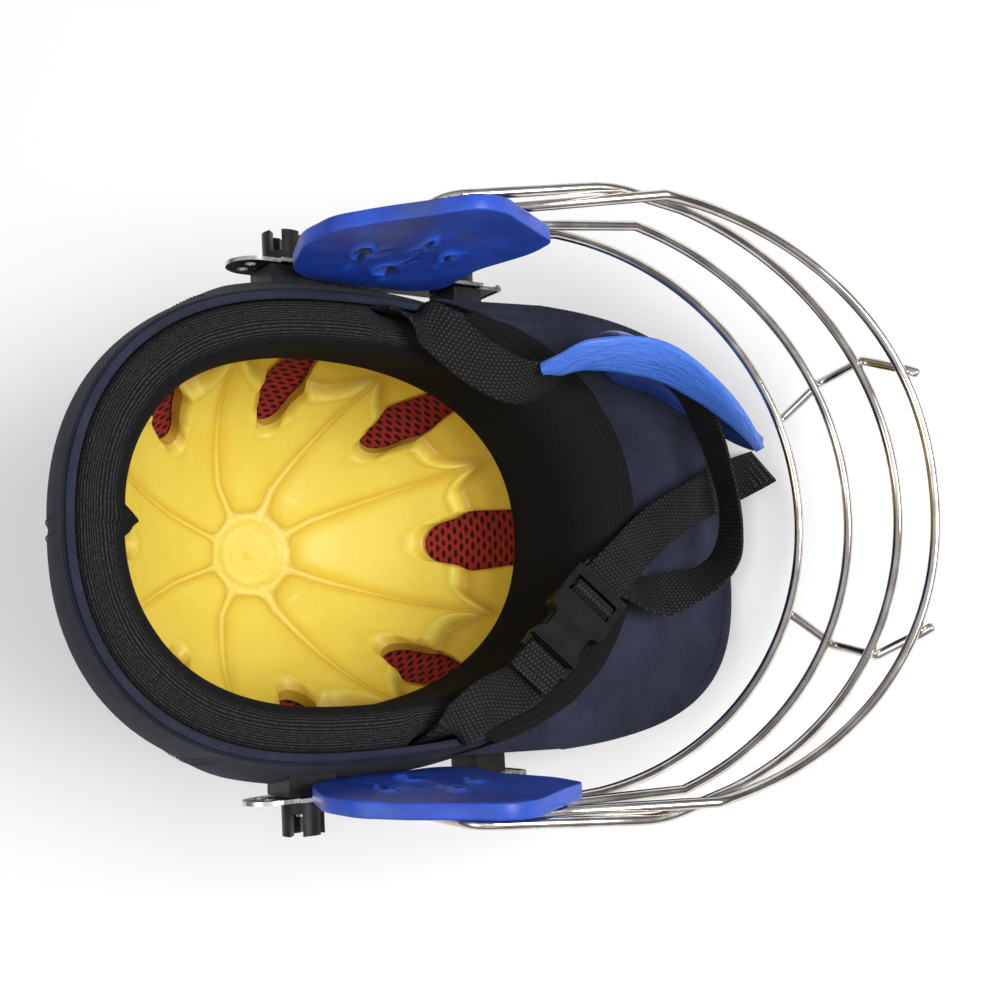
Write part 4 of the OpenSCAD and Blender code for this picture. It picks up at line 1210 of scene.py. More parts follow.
@dataclass
class Peak:
    """The peak: a board between two layers of cloth, sewn near its edge."""

    wall: Wall
    finishes: Finishes
    reach: float = 200.0
    half_w: float = 96.0
    tip_z: float = -6.0
    arch: float = 7.0
    board_t: float = 2.4
    cloth_t: float = 1.0
    fit: float = 0.2
    root_a: float = 76.0
    power: float = 3.4
    columns: int = 120
    rows: int = 26
    hem: float = 5.0

    def height(self, y: float, v: float) -> float:
        """Return the height of the board's middle."""
        return self.tip_z + self.arch * (y / self.half_w) ** 2 - 2 * (1 - v)

    def at(self, u: float, v: float, lift: float) -> np.ndarray:
        """Find a point of the peak.

        Args:
            u: the place across, from -1 to 1.
            v: the place from the shell at 0 to the edge at 1.
            lift: height over the board's middle.

        Returns:
            The point.
        """
        mid_x = self.wall.crown_x + 50
        a = math.radians(84 * u)
        ex = mid_x + (self.wall.crown_x + self.reach - mid_x) * bend(math.cos(a), 2 / self.power)
        ey = self.half_w * bend(math.sin(a), 2 / self.power)
        root = self.wall.at(self.root_a * u, self.tip_z, -0.4)
        x, y = lerp(root[0], ex, v), lerp(root[1], ey, v)
        return vec((x, y, self.height(y, v) + lift))

    def layer(self, name: str, sign: int) -> Piece:
        """Make one cloth layer.

        Args:
            name: the piece's name.
            sign: +1 above the board, -1 below it.

        Returns:
            The piece.
        """
        near, far = self.board_t / 2 + self.fit, self.board_t / 2 + self.fit + self.cloth_t
        us = [-1 + 2 * i / self.columns for i in range(self.columns + 1)]
        rows: Rows = []
        for j in range(self.rows + 1):
            v = j / self.rows
            span = self.reach * (1 - v) * 0.35
            pressed = 0.4 * hump(span - self.hem, 1.0)
            row = []
            for u in us:
                soft = 0.12 * wave(9 * u, 6 * v + u) - pressed
                pucker = 0.9 * wave(23 * u + 2 * v, 41 * u) * smooth(0.62, 0.1, v) * smooth(0.0, 0.06, v)
                raised = max(pucker, -0.3) if sign > 0 else 0
                row.append(self.at(u, v, sign * (far - 0.1 + 0.6 * soft) + raised))
            rows.append(row)
        edge = sign * lerp(far, near, 0.5)
        rows.append([self.at(u, 1.0, edge) + (self.at(u, 1.0, 0) - self.at(u, 0.98, 0)) * 0.15 for u in us])
        rows.append([self.at(u, 1.0, sign * near) for u in us])
        for j in range(self.rows - 1, -1, -4):
            rows.append([self.at(u, j / self.rows, sign * near) for u in us])
        if sign < 0:
            rows = rows[::-1]
        return lofted(name, rows)

    def seam_path(self, v: float, lift: float) -> list[np.ndarray]:
        """Return a line across the peak at the share v of its reach."""
        return [self.at(-0.985 + 1.97 * k / 160, v, lift) for k in range(161)]

    def binding(self) -> Piece:
        """Return the folded strip that closes the edge of the peak."""
        path = [self.at(-1 + 2 * k / 200, 1.0, 0) for k in range(201)]
        return tube("peak_edge_binding", path, 0.55, sides=8, start=(0, 0, 1))

    def build(self) -> None:
        """Build and dress the peak."""
        f = self.finishes
        under = dress(self.layer("peak_cloth_inside", 1), f.twill, Body.HELMET,
                      ("peak_cloth_under",))
        over = dress(self.layer("peak_cloth_outside", -1), f.twill, Body.HELMET,
                     ("peak_cloth_top",))
        rise = self.board_t / 2 + self.fit + self.cloth_t
        rows = [stitches("peak_row_a", self.seam_path(0.93, rise)),
                stitches("peak_row_b", self.seam_path(0.93, -rise))]
        dress(joined("peak_edge_stitches", rows), f.thread, Body.HELMET)
        dress(self.binding(), f.twill, Body.HELMET)


@dataclass
class Lining:
    """The moulded liner with its ribs, puffed panels and slots, over red spacer mesh."""

    wall: Wall
    layers: Layers
    finishes: Finishes
    ribs: tuple[float, ...] = (-25, 25, 66, 100, 151, 209, 260, 294)
    slots: tuple[float, ...] = (0, 49, 85, 122, 180, 238, 275, 311)
    halves: tuple[float, ...] = (9.5, 7.5, 5, 7.5, 8, 7.5, 5, 7.5)
    tips: tuple[float, ...] = (0.74, 0.71, 0.67, 0.64, 0.66, 0.66, 0.78, 0.76)
    hub: tuple[float, float] = (0.0, -2.0)
    hub_r: float = 16.5
    hub_rise: float = 1.9
    hub_pale: float = 0.12
    near_hub: float = 0.36
    moat: float = 3.4
    base_rise: float = 1.6
    puff: float = 3.3
    rib_h: float = 0.55
    lip_h: float = 0.8
    recess: float = 3.5
    tip_bow: float = 0.085
    band_depth: float = 48.0
    per_panel: int = 72
    slot_cols: tuple[int, int] = (26, 46)
    rows_in: int = 64
    rows_out: int = 48

    def edge_share(self, a: float) -> float:
        """Find where the liner ends.

        Args:
            a: azimuth.

        Returns:
            The share of the wall's plan.
        """
        s = math.sin(math.radians(a))
        drop, n = self.wall.bulge_depth * s * s, self.wall.power(a)
        return (1 - (max(0.0, self.band_depth - drop) / (self.wall.depth - drop)) ** n) ** (1 / n)

    def base(self, a: float, share: float, off: float) -> np.ndarray:
        """Find a point of the liner's plain surface.

        Args:
            a: azimuth.
            share: share of the way from hub to edge.
            off: how far inside the cover's outer face.

        Returns:
            The point.
        """
        q = self.wall.shrunk(a, self.edge_share(a) * share, off)
        if share >= 0.8:
            end = self.wall.shrunk(a, self.edge_share(a), off)[2]
            drop = (self.wall.rim_z(a) - self.band_depth - 0.2 - end) * smooth(0.8, 1.0, share)
            return self.wall.at(a, float(q[2]) + drop, off)
        if share >= self.near_hub:
            return q
        rim = self.wall.shrunk(a, self.edge_share(a) * self.near_hub, off)
        way = vec((rim[0] - self.hub[0], rim[1] - self.hub[1]))
        x, y = (float(v) for v in vec(self.hub) + way * (share / self.near_hub))
        return vec((x, y, self.wall.crown_z(x, y, off)))

    def next_rib(self, p: int) -> float:
        """Return the azimuth of the rib on the far side of panel p."""
        return self.ribs[p + 1] if p + 1 < len(self.ribs) else self.ribs[0] + 360

    def column(self, k: int) -> tuple[int, int]:
        """Return the panel of a column and the column's number in that panel."""
        return divmod(k, self.per_panel)

    def slot_edges(self, p: int, j: int) -> tuple[float, float]:
        """Find the sides of a slot.

        Args:
            p: its number.
            j: the row.

        Returns:
            The azimuths between which it lies.
        """
        out = (j - self.rows_in) / self.rows_out
        width = 0.8 if j < self.rows_in else lerp(0.8, 1.0, smooth(0, 0.35, out))
        if j > self.rows_in:
            width *= lerp(1.0, 0.8 if p == 0 else 0.55, smooth(0.35, 1.0, out))
        half = self.halves[p] * width
        return self.slots[p] - half, self.slots[p] + half

    def azimuth(self, k: int, j: int) -> float:
        """Find the azimuth of a vertex, with the columns closest at the ribs.

        Args:
            k: its column.
            j: its row.

        Returns:
            The azimuth.
        """
        p, c = self.column(k)
        lo, hi = self.slot_cols
        left, right = self.slot_edges(p, j)
        if c < lo:
            return lerp(self.ribs[p], left, (c / lo) ** 1.5)
        if c <= hi:
            return lerp(left, right, (c - lo) / (hi - lo))
        return lerp(self.next_rib(p), right, ((self.per_panel - c) / (self.per_panel - hi)) ** 1.5)

    def share(self, k: int, j: int) -> float:
        """Find how far out a vertex lies.

        Args:
            k: its column.
            j: its row.

        Returns:
            The share of the way from hub to edge.
        """
        p, c = self.column(k)
        lo, hi = self.slot_cols
        t = abs((c - (lo + hi) / 2) / ((hi - lo) / 2))
        tip = self.tips[p]
        turn = tip + self.tip_bow * (1 - math.sqrt(max(0.0, 1 - min(t, 1.0) ** 2)))
        if t > 1:
            turn = lerp(tip + self.tip_bow, 0.78, smooth(1.0, 2.2, t))
        if j <= self.rows_in:
            return turn * (j / self.rows_in)
        return lerp(turn, 1.0, (j - self.rows_in) / self.rows_out)

    def hub_relief(self, p: np.ndarray, out: float) -> tuple[float, float]:
        """Shape the boss in the crown.

        Args:
            p: the point of the plain surface.
            out: its distance out from the boss's edge.

        Returns:
            The height and the painted shade, as relief gives them.
        """
        score = 0.05 * math.sin(1.4 * p[0]) * math.sin(1.4 * p[1]) * smooth(-2.0, -5.0, out)
        rise = self.hub_rise + score - 0.45 * hump(out + 1.8, 1.5)
        # Painted shade in the dip round the boss's edge; hub_pale sets the boss a little paler.
        return rise, 0.3 * hump(out + 1.6, 1.1) - self.hub_pale

    def relief(self, p: np.ndarray, a: float, share: float, k: int, j: int) -> tuple[float, float]:
        """Find how far the foam stands in from its hollow floor, and the painted shade or painted highlight
        for that place.

        Args:
            p: the point of the plain surface.
            a: its azimuth.
            share: its share of the way from hub to edge.
            k: its column.
            j: its row.

        Returns:
            The height in millimetres and the painted shade, 1 at the bottom of a crease and below 0 for the
            painted highlight on a rib.
        """
        q, _ = self.column(k)
        r = math.hypot(p[0] - self.hub[0], p[1] - self.hub[1])
        arc = r * (1.0 if share < 0.5 else lerp(1.0, 1.12, (share - 0.5) * 2))
        side = math.radians(min(a - self.ribs[q], self.next_rib(q) - a)) * arc
        out = r - self.hub_r * (0.98 + 0.02 * abs(a % 45 - 22.5) / 22.5)
        if out < 0:
            return self.hub_relief(p, out)
        half = lerp(1.55, 0.75, smooth(22, 80, r))
        soft = 2.4
        d = -soft * math.log(math.exp(-(side - half) / soft) + math.exp(-(out - self.moat) / soft))
        groove = hump(d + 0.1, 0.65)
        rib = hump(min(side, abs(out - 1.7)), 1.2)
        height = self.base_rise + self.rib_h * rib - 0.35 * groove
        d = max(d, 0.0)
        height += self.puff * (1 - math.exp(-(d / 2.9) ** 1.25)) + 1.3 * (1 - math.exp(-d / 14))
        # Painted shade in the grooves beside the ribs and round the puffed panels, and a painted highlight on
        # the ribs near the hub.
        crease = 0.6 * groove + 0.2 * hump(d, 2.4) - 0.75 * rib * smooth(95, 30, r)
        lip = lerp(0.94, 0.865, smooth(0.0, 1.0, min(1.0, side / 16.0))) + 0.012 * wave(a / 11)
        gone = smooth(lip + 0.020, lip - 0.010, share)
        crest = self.lip_h * hump(share - lip + 0.022, 0.015) * smooth(1.0, 6.0, side)
        flat = 0.35 * smooth(0.90, 0.97, share) * (side < half)
        height = lerp(-0.6, height * (1 - flat) + crest, gone)
        # Painted shade on the lower shelf past the lip, deepest at the lip's foot.
        foot = smooth(lip - 0.004, lip + 0.014, share)
        crease = lerp(crease, lerp(0.95, 0.5, smooth(lip + 0.015, lip + 0.06, share)), foot)
        if j >= self.rows_in - 11 and side > 0:
            left, right = self.slot_edges(q, j)
            away = math.radians(max(left - a, a - right, 0.0)) * arc
            gap = away if j >= self.rows_in else math.hypot(away, (self.rows_in - j) * 0.8)
            height -= (1.5 + 0.4 * height) * hump(gap, 1.4)
            height += 0.6 * hump(gap - 3.2, 1.6) * gone
            # Painted shade round the edges of the slots.
            crease = max(crease, 0.8 * hump(gap, 1.3))
        return height, crease

    def skin(self) -> Piece:
        """Make the liner's moulded face with the walls of its slots.

        Returns:
            The piece.
        """
        columns = self.per_panel * len(self.ribs)
        last = self.rows_in + self.rows_out
        lo, hi = self.slot_cols
        start = 3
        floor = self.layers.liner_in - self.recess
        rows: Rows = []
        painted_shades: list[float] = []
        angles = [[self.azimuth(k, j) for k in range(columns)] for j in range(last + 1)]
        shares = [[self.share(k, j) for k in range(columns)] for j in range(last + 1)]
        for j in range(start, last + 1):
            row = []
            for k in range(columns):
                a, s = angles[j][k], shares[j][k]
                height, crease = self.relief(self.base(a, s, floor), a, s, k, j)
                row.append(self.base(a, s, floor + height))
                painted_shades.append(crease)
            rows.append(row)

        def in_slot(i: int, j: int) -> bool:
            """Return whether the cell at column i and row j lies in a slot."""
            return j + start >= self.rows_in and lo <= i % self.per_panel < hi

        face = shaded(lofted("liner_face", rows, ring=True, skip=in_slot), painted_shades)
        parts = [face, self.hub_disc(rows[0])]
        out = self.layers.liner_out
        for p in range(len(self.ribs)):
            base = p * self.per_panel
            line = [(base + lo, j) for j in range(last, self.rows_in, -1)]
            line += [(base + c, self.rows_in) for c in range(lo, hi + 1)]
            line += [(base + hi, j) for j in range(self.rows_in + 1, last + 1)]
            wall = [[rows[j - start][k] for k, j in line]]
            for off in (out + 3.2, out + 0.1):
                wall.append([self.base(angles[j][k], shares[j][k], off) for k, j in line])
            # The slot walls get painted shade.
            parts.append(shaded(lofted(f"slot_wall_{p}", wall), 0.8))
        back = [self.base(angles[last][k], 1.0, out) for k in range(columns)]
        parts.append(lofted("liner_edge", [rows[-1], back], ring=True))
        return joined("moulded_liner", parts)

    def hub_disc(self, rim: list[Sequence[float]]) -> Piece:
        """Close the middle of the round boss in the crown.

        Args:
            rim: the ring that it is inside.

        Returns:
            The disc.
        """
        centre = vec((*self.hub, self.wall.crown_z(*self.hub, self.layers.liner_in - 2.2)))
        rows: Rows = []
        for share in (0.02, 0.2, 0.4, 0.6, 0.8, 1.0):
            row = []
            for q in rim:
                p = centre + (vec(q) - centre) * share
                row.append(p + vec((0, 0, 0.02 * wave(p[0] / 2, p[1] / 2) * (1 - share))))
            rows.append(row)
        return shaded(lofted("hub_disc", rows, ring=True), -self.hub_pale)

    def spacer(self) -> Piece:
        """Make the knitted mesh behind the slots, its inner face and then its outer.

        Returns:
            The piece.
        """
        steps = range(41)
        inner, outer = self.layers.mesh_out + self.layers.mesh - 0.1, self.layers.mesh_out + 0.1
        rows: Rows = []
        for order, off in ((steps[::-1], inner), (steps, outer)):
            for s in (0.97 * k / 40 for k in order):
                row = []
                for a in range(0, 360, 3):
                    top = self.wall.rim_z(a) - self.band_depth - 0.2
                    row.append(self.wall.at(a, self.wall.fall(top, s, off), off))
                rows.append(row)
        return lofted("red_spacer_mesh", rows, ring=True)

    def build(self) -> None:
        """Build and dress the lining."""
        f = self.finishes
        foam = dress(self.skin(), f.foam, Body.HELMET, ("crown_liner",))
        mesh = dress(self.spacer(), f.mesh, Body.HELMET, ("spacer_mesh",))


@dataclass
class Headband:
    """The knit-covered roll of foam round the head opening, with its seam at the nape."""

    wall: Wall
    layers: Layers
    finishes: Finishes
    depth: float = 48.0
    reach: float = 26.0
    crown: float = 2.5
    screw_head_t: float = 1.8
    strap_t: float = 1.4
    notch_right: float = 10.5
    notch_left: float = 20.0
    notch_half: float = 11.0
    columns: int = 432
    crowding: float = 22.0
    overlap: float = 179.7
    step_h: float = 1.1
    tuck_h: float = 0.7
    point_h: float = 5.2

    @property
    def out(self) -> float:
        """Outer face of the roll."""
        return self.layers.shell_in + self.layers.sag + self.screw_head_t + self.strap_t + 0.4

    def lip(self, a: float) -> float:
        """Find how far out the roll's top reaches, less where a strap passes.

        Args:
            a: azimuth.

        Returns:
            The distance inside the cover's outer face.
        """
        x, y, _ = self.wall.at(a, 0, 0)
        tight = self.layers.shell_in + self.layers.sag + 0.2
        mid = self.notch_right if y > 0 else self.notch_left
        share = smooth(self.notch_half + 4, self.notch_half - 3, abs(x - mid))
        return lerp(tight, self.out, share)

    def section(self, a: float, flap: float) -> list[tuple[float, float]]:
        """Return the roll's profile at azimuth a.

        Args:
            a: the azimuth in degrees.
            flap: how far the knit reaches over the rim here, from 0 to 1 at the brow.

        Returns:
            How far in and how high each point lies, from the outer foot over the top to the inner foot.
        """
        c, d, b, o = self.crown, self.depth, self.reach, self.out
        lip = self.lip(a)
        edge = lerp(lip, -1.6 + 0.5 * wave(a / 3.1, a / 7.7), flap)
        first = lerp(lerp(lip, b, 0.05), edge, flap)
        second = lerp(lerp(lip, b, 0.15), edge + 1, flap)
        return [(o, -d + 3), (o, -20), (o, -7), (lip, -4), (lip, -0.5), (first, c - 1.0),
                (second, c - 0.2 + 3.0 * flap), (lerp(lip, b, 0.33), c + 2.2 * flap),
                (lerp(lip, b, 0.55), c - 0.8 + 0.6 * flap), (b - 4.5, -2.2), (b - 1.4, -7.5), (b - 0.2, -15),
                (b, -26), (b, -d + 8), (b - 2, -d + 2.2), (b - 7, -d + 0.2), (o + 3, -d)]

    def build(self) -> None:
        """Build and dress the headband, its columns closest at the nape where its ends overlap."""
        b, o = self.reach, self.out
        rows: Rows = []
        for i in range(self.columns):
            a = 360 * i / self.columns
            a += self.crowding * math.sin(math.radians(a))
            z0 = self.wall.rim_z(a)
            past = a - self.overlap
            nape = self.step_h * hump(past - 0.5, 0.55) - self.tuck_h * hump(max(-past, 0), 5) * (past < 0.1)
            point = self.point_h * max(0.0, 1 - (-past / 3.8 if past < 0 else past / 2.6)) ** 0.9
            line = self.section(a, smooth(76, 66, abs((a + 180) % 360 - 180)))
            row = []
            for k, q in enumerate(spline([(*p, 0) for p in line + line[:1]], 3)[:-1]):
                soft = 0.25 * wave(a / 8 + k / 7.0, k / 5.0)
                inner = smooth(b - 9, b - 2, q[0])
                sunk = nape * (1 if q[0] > o + 1 and q[1] > -30 else 0)
                off = q[0] - soft * 0.5 - 0.6 * sunk * inner + point * inner
                row.append(self.wall.at(a, z0 + q[1] - sunk, off))
            rows.append(row)
        roll = dress(lofted("knit_headband", rows, ring=True, closed=True), self.finishes.knit, Body.HELMET,
                     ("headband_pad",))


# The face guard
@dataclass(frozen=True)
class Bar:
    """One bent wire of the grille, as an oval with two arms."""

    name: str
    mid_x: float
    reach: float
    half_w: float
    front_z: float
    side_z: float
    power: float
    weld_x: float
    elbow: Point
    kink: float
    bulge: tuple[Point, ...] = ()

    def oval(self, phi: float) -> np.ndarray:
        """Find a point of the oval, before it is turned.

        Args:
            phi: the angle in degrees.

        Returns:
            The point.
        """
        c, s = turned(phi)
        return vec((self.mid_x + (self.reach - self.mid_x) * bend(c, 2 / self.power),
                    self.half_w * bend(s, 2 / self.power), lerp(self.front_z, self.side_z, s * s)))


@dataclass
class Guard:
    """Plates, wires, struts and pads that tilt together."""

    finishes: Finishes
    wire_r: float = 2.05
    plate_y: float = 104.0
    plate_t: float = 1.6
    plate_h: float = 26.0
    screw_z: float = -19.0
    yaw: float = 1.6
    gap: float = 0.05
    elbow_reach: float = 9.0
    strut_y: float = 42.5
    strut_reach: float = 1.5
    pad_t: float = 6.0
    pad_gap: float = 0.2
    pad_lean: float = 3.0
    pad_z: float = -7.0
    pad_cols: int = 240
    pad_rings: int = 40
    pad_middle: tuple[float, float] = (0.0, 44.0)
    pad_outline: tuple[tuple[float, float], ...] = (
        (-28, 0), (20, 0), (31, 8), (31, 34), (41, 60), (41, 73), (6, 92), (-6, 92), (-24, 73), (-43, 53),
        (-46, 34), (-38, 8))
    # Place along and up the pad, radius and turn of each torn dent.
    dents: tuple[tuple[float, float, float, float], ...] = (
        (-19.5, 33, 6.2, 0.5), (-2, 24, 6.2, 1.1), (-3, 50, 3.6, 0.0), (13, 42, 3.6, 0.6))
    dent_depth: float = 2.6

    @property
    def weld_y(self) -> float:
        """Middle of the wires where they lie on the plate."""
        return self.plate_y + self.plate_t + self.wire_r + self.gap

    def bars(self) -> list[Bar]:
        """List the four bars from the peak to the chin.

        Returns:
            The bars.
        """
        e = self.weld_y + 2.5
        return [Bar("wire_top", 49.5, 187, 111, 45, 47, 2, 30, (37, e, 46), 86),
                Bar("wire_upper", 54, 199, 116.5, 63, 61.5, 2, 14, (22, e, 51), 76),
                Bar("wire_lower", 41.5, 200.5, 114.5, 89, 93.5, 2, -13, (-11, e, 72), 74, ((56, 117, 87.5),)),
                Bar("wire_chin", 55.5, 194, 113, 113, 98.5, 2.17, 0, (2, e - 0.2, 58), 84)]

    def yawed(self, p: np.ndarray) -> np.ndarray:
        """Return a point of the grille's front, turned a little to the right."""
        c, s = turned(self.yaw)
        return vec((p[0] * c - p[1] * s, p[0] * s + p[1] * c, p[2]))

    def arm(self, bar: Bar, side: int) -> list[np.ndarray]:
        """Lead one arm of a bar from the plate to the bend of its oval.

        Args:
            bar: the bar.
            side: the sign of its Y.

        Returns:
            The line.
        """
        foot = (bar.weld_x, self.weld_y, self.screw_z - 4)
        head = (bar.weld_x, self.weld_y, self.screw_z + self.plate_h / 2)
        line = [vec((x, side * y, z)) for x, y, z in (foot, head, bar.elbow)]
        line += [self.yawed((x, side * y, z)) for x, y, z in bar.bulge]
        line.append(self.yawed(bar.oval(side * bar.kink)))
        return rounded(line, self.elbow_reach, 8)

    def path(self, bar: Bar) -> list[np.ndarray]:
        """Return the whole line of a bar, from plate to plate."""
        front = [self.yawed(bar.oval(bar.kink * (1 - 2 * k / 96))) for k in range(1, 96)]
        return self.arm(bar, 1) + front + self.arm(bar, -1)[::-1]

    def crossing(self, bar: Bar, y: float) -> float:
        """Return the angle on a bar's oval where it crosses the place y of the helmet, in radians."""
        return math.asin((y - bar.reach * math.sin(math.radians(self.yaw))) / bar.half_w)

    def strut_at(self, bar: Bar, y: float, past: float = 0.0) -> np.ndarray:
        """Find where a strut lies on the front of a bar.

        Args:
            bar: the bar.
            y: the place across.
            past: how far it is raised.

        Returns:
            The point.
        """
        phi = self.crossing(bar, y)
        out = unit(vec((math.cos(phi) / (bar.reach - bar.mid_x), math.sin(phi) / bar.half_w, 0)))
        return self.yawed(bar.oval(math.degrees(phi)) + (2 * self.wire_r + 0.1) * out + vec((0, 0, past)))

    def struts(self) -> Piece:
        """Make the two upright struts with a bead of weld at each crossing.

        Returns:
            The piece.
        """
        top, upper, lower, chin = self.bars()
        spread = ((top, 1.0), (upper, 1.3), (lower, 1.4), (chin, 1.14))
        parts = []
        for side in (1, -1):
            y = side * self.strut_y
            line = [self.strut_at(top, y, -2)] + [self.strut_at(bar, y * k) for bar, k in spread]
            line.append(self.strut_at(chin, y * 1.1, 3))
            parts.append(tube(f"strut_{side}", rounded(line, self.strut_reach, 4), self.wire_r))
            for bar, k in spread:
                outer = self.strut_at(bar, y * k)
                inner = self.yawed(bar.oval(math.degrees(self.crossing(bar, y * k))))
                along = unit(inner - outer)
                bead = [(outer + inner) / 2 + along * h for h in (-1.1, -0.5, 0, 0.5, 1.1)]
                parts.append(tube(f"bead_{side}_{bar.name}", bead, lambda t: 1.9 - 1.1 * abs(2 * t - 1),
                                  sides=10, start=(0.2, 0.1, 1)))
        return joined("grille_struts_welded", parts)

    def plate_welds(self) -> Piece:
        """Make the beads of weld that hold the wires to the plates.

        Returns:
            The piece.
        """
        parts = []
        for side in (1, -1):
            y = side * (self.plate_y + self.plate_t + 0.35)
            for bar in self.bars():
                for along in (-1, 1):
                    x, foot = bar.weld_x + along * 1.7, self.screw_z - 3.5
                    line = [vec((x + 0.3 * wave(k * 2.1, bar.weld_x), y, foot + 1.5 * k)) for k in range(11)]
                    parts.append(tube(f"weld_{side}_{bar.name}_{along}", line,
                                      lambda t: 0.75 + 0.2 * math.sin(40 * t), sides=8, start=(1, 0, 0)))
        return joined("plate_weld_beads", parts)

    def outline(self, steps: int = 16) -> list[tuple[float, float]]:
        """Round the outline of a side pad and space its points evenly.

        Args:
            steps: stretches in each rounded corner.

        Returns:
            Its points.
        """
        pts = [vec(p) for p in self.pad_outline]
        n = len(pts)
        out: list[tuple[float, float]] = []
        for i, p in enumerate(pts):
            a, b = pts[i - 1] - p, pts[(i + 1) % n] - p
            ra, rb = min(5, np.linalg.norm(a) / 2.2), min(5, np.linalg.norm(b) / 2.2)
            for k in range(steps + 1):
                t = k / steps
                q = p + (1 - t) ** 2 * ra * unit(a) + t * t * rb * unit(b)
                out.append((float(q[0]), float(q[1])))
        line = np.array(out + out[:1])
        run = np.concatenate([[0.0], np.cumsum(np.linalg.norm(np.diff(line, axis=0), axis=1))])
        even = np.linspace(0, run[-1], self.pad_cols, endpoint=False)
        return [(float(np.interp(s, run, line[:, 0])), float(np.interp(s, run, line[:, 1]))) for s in even]

    def dent(self, x: float, z: float) -> float:
        """Find how far the pad's inner face is pushed in.

        Args:
            x: the place along the pad.
            z: the place up it.

        Returns:
            The depth, below 0 where a torn flap stands.
        """
        total = 0.0
        for cx, cz, r, turn in self.dents:
            dx, dz = x - cx, (z - cz) * 0.45
            d = math.hypot(dx, dz)
            w = math.atan2(dz, dx) - turn
            star = r * (0.62 + 0.38 * math.cos(3 * w))
            flap = 1.6 * (0.5 + 0.5 * math.cos(w - 2.2))
            total += self.dent_depth * math.exp(-(d / (star + 0.4)) ** 4) - flap * hump(d - star - 1.4, 1.3)
        return total

    def pad(self, side: Side) -> Piece:
        """Make a side pad with its rolled edge and the torn dents of its inner face.

        Args:
            side: which side it is on.

        Returns:
            The piece.
        """
        shape = [vec(p) for p in self.outline()]
        mid = vec(self.pad_middle)
        c, s = turned(self.pad_lean)
        inner_y = self.plate_y - self.pad_gap - self.pad_t
        rows: Rows = []
        torn: list[float] = []

        def ring(grow: float, scale: float, depth: float, pierced: bool = False) -> None:
            """Add a ring of the pad.

            Args:
                grow: how far it is drawn in.
                scale: its scale about the middle.
                depth: its distance from the inner face.
                pierced: whether the dents show in it.
            """
            row = []
            for p in shape:
                q = p - mid
                q = mid + q * scale * (1 - grow / np.linalg.norm(q))
                hole = self.dent(q[0], q[1]) if pierced else 0.0
                # The dent's depth is noted for the painted shade in the dents and the painted highlight on
                # their flaps.
                torn.append(hole / self.dent_depth)
                d = depth + hole * 0.9 + 0.25 * wave(q[0] / 9, q[1] / 8) * (1 if scale > 0.5 else 0.4)
                y, z = inner_y + d * c + q[1] * s, self.pad_z - d * s + q[1] * c
                row.append(vec((q[0], side.value * y, z)))
            rows.append(row)

        scales = [max(0.97 * k / self.pad_rings, 0.01) for k in range(self.pad_rings + 1)]
        for scale in scales:
            ring(0.0, scale, 0.0, pierced=True)
        thick = self.pad_t
        for grow, depth in ((0.7, 0.0), (0.2, 0.1), (0.0, 0.6), (0.0, thick / 2), (0.0, thick - 0.8),
                            (0.2, thick - 0.1), (0.7, thick)):
            ring(grow, 1.0, depth)
        for scale in scales[::-1]:
            ring(0.0, scale, thick)
        return shaded(lofted(f"side_pad_foam_{side.name.lower()}", rows, ring=True), torn)

    def build(self) -> None:
        """Build and dress the face guard."""
        f = self.finishes
        nodes = {"wire_top": "grille_bar_top", "wire_upper": "grille_bar_upper",
                 "wire_lower": "grille_bar_lower", "wire_chin": "grille_bar_chin"}
        for bar in self.bars():
            wire = tube(bar.name, self.path(bar), self.wire_r, sides=20)
            dress(wire, f.chrome, Body.GUARD, (nodes[bar.name],))
        dress(self.struts(), f.chrome, Body.GUARD, ("grille_struts",))
        dress(self.plate_welds(), f.steel, Body.GUARD)
        for side in Side:
            node = f"side_pad_{side.name.lower()}"
            foam = dress(self.pad(side), f.pad, Body.GUARD, (node,))


# Straps, cup and buckle
@dataclass
class BuckleFrame:
    """The buckle's own frame, X from the socket's mouth to the ladder, with its small sizes."""

    at: Point = (85.0, -41.0, 9.5)
    tilt: Point = (-16.0, -2.0, 43.0)
    length: float = 40.0
    thick: float = 8.5
    wall: float = 1.8
    gap: float = 0.4
    ladder_l: float = 14.0
    ladder_t: float = 4.0
    ladder_bar: float = 2.4
    ladder_slot: float = 3.6
    plug_bar: float = 3.0
    plug_slot: float = 2.4

    def swung(self, p: Sequence[float]) -> np.ndarray:
        """Turn a direction of the buckle's frame.

        Args:
            p: the direction.

        Returns:
            The direction in the helmet's frame.
        """
        a, b, c = (math.radians(t) for t in self.tilt)
        x, y, z = p
        y, z = y * math.cos(a) - z * math.sin(a), y * math.sin(a) + z * math.cos(a)
        x, z = x * math.cos(b) + z * math.sin(b), -x * math.sin(b) + z * math.cos(b)
        return vec((x * math.cos(c) - y * math.sin(c), x * math.sin(c) + y * math.cos(c), z))

    def point(self, x: float, z: float) -> np.ndarray:
        """Return a point of the buckle's middle plane in the helmet's frame."""
        return vec(self.at) + self.swung((x, 0, z))

    @property
    def across(self) -> np.ndarray:
        """Direction across the webbing in the buckle."""
        return -self.swung((0, 1, 0))


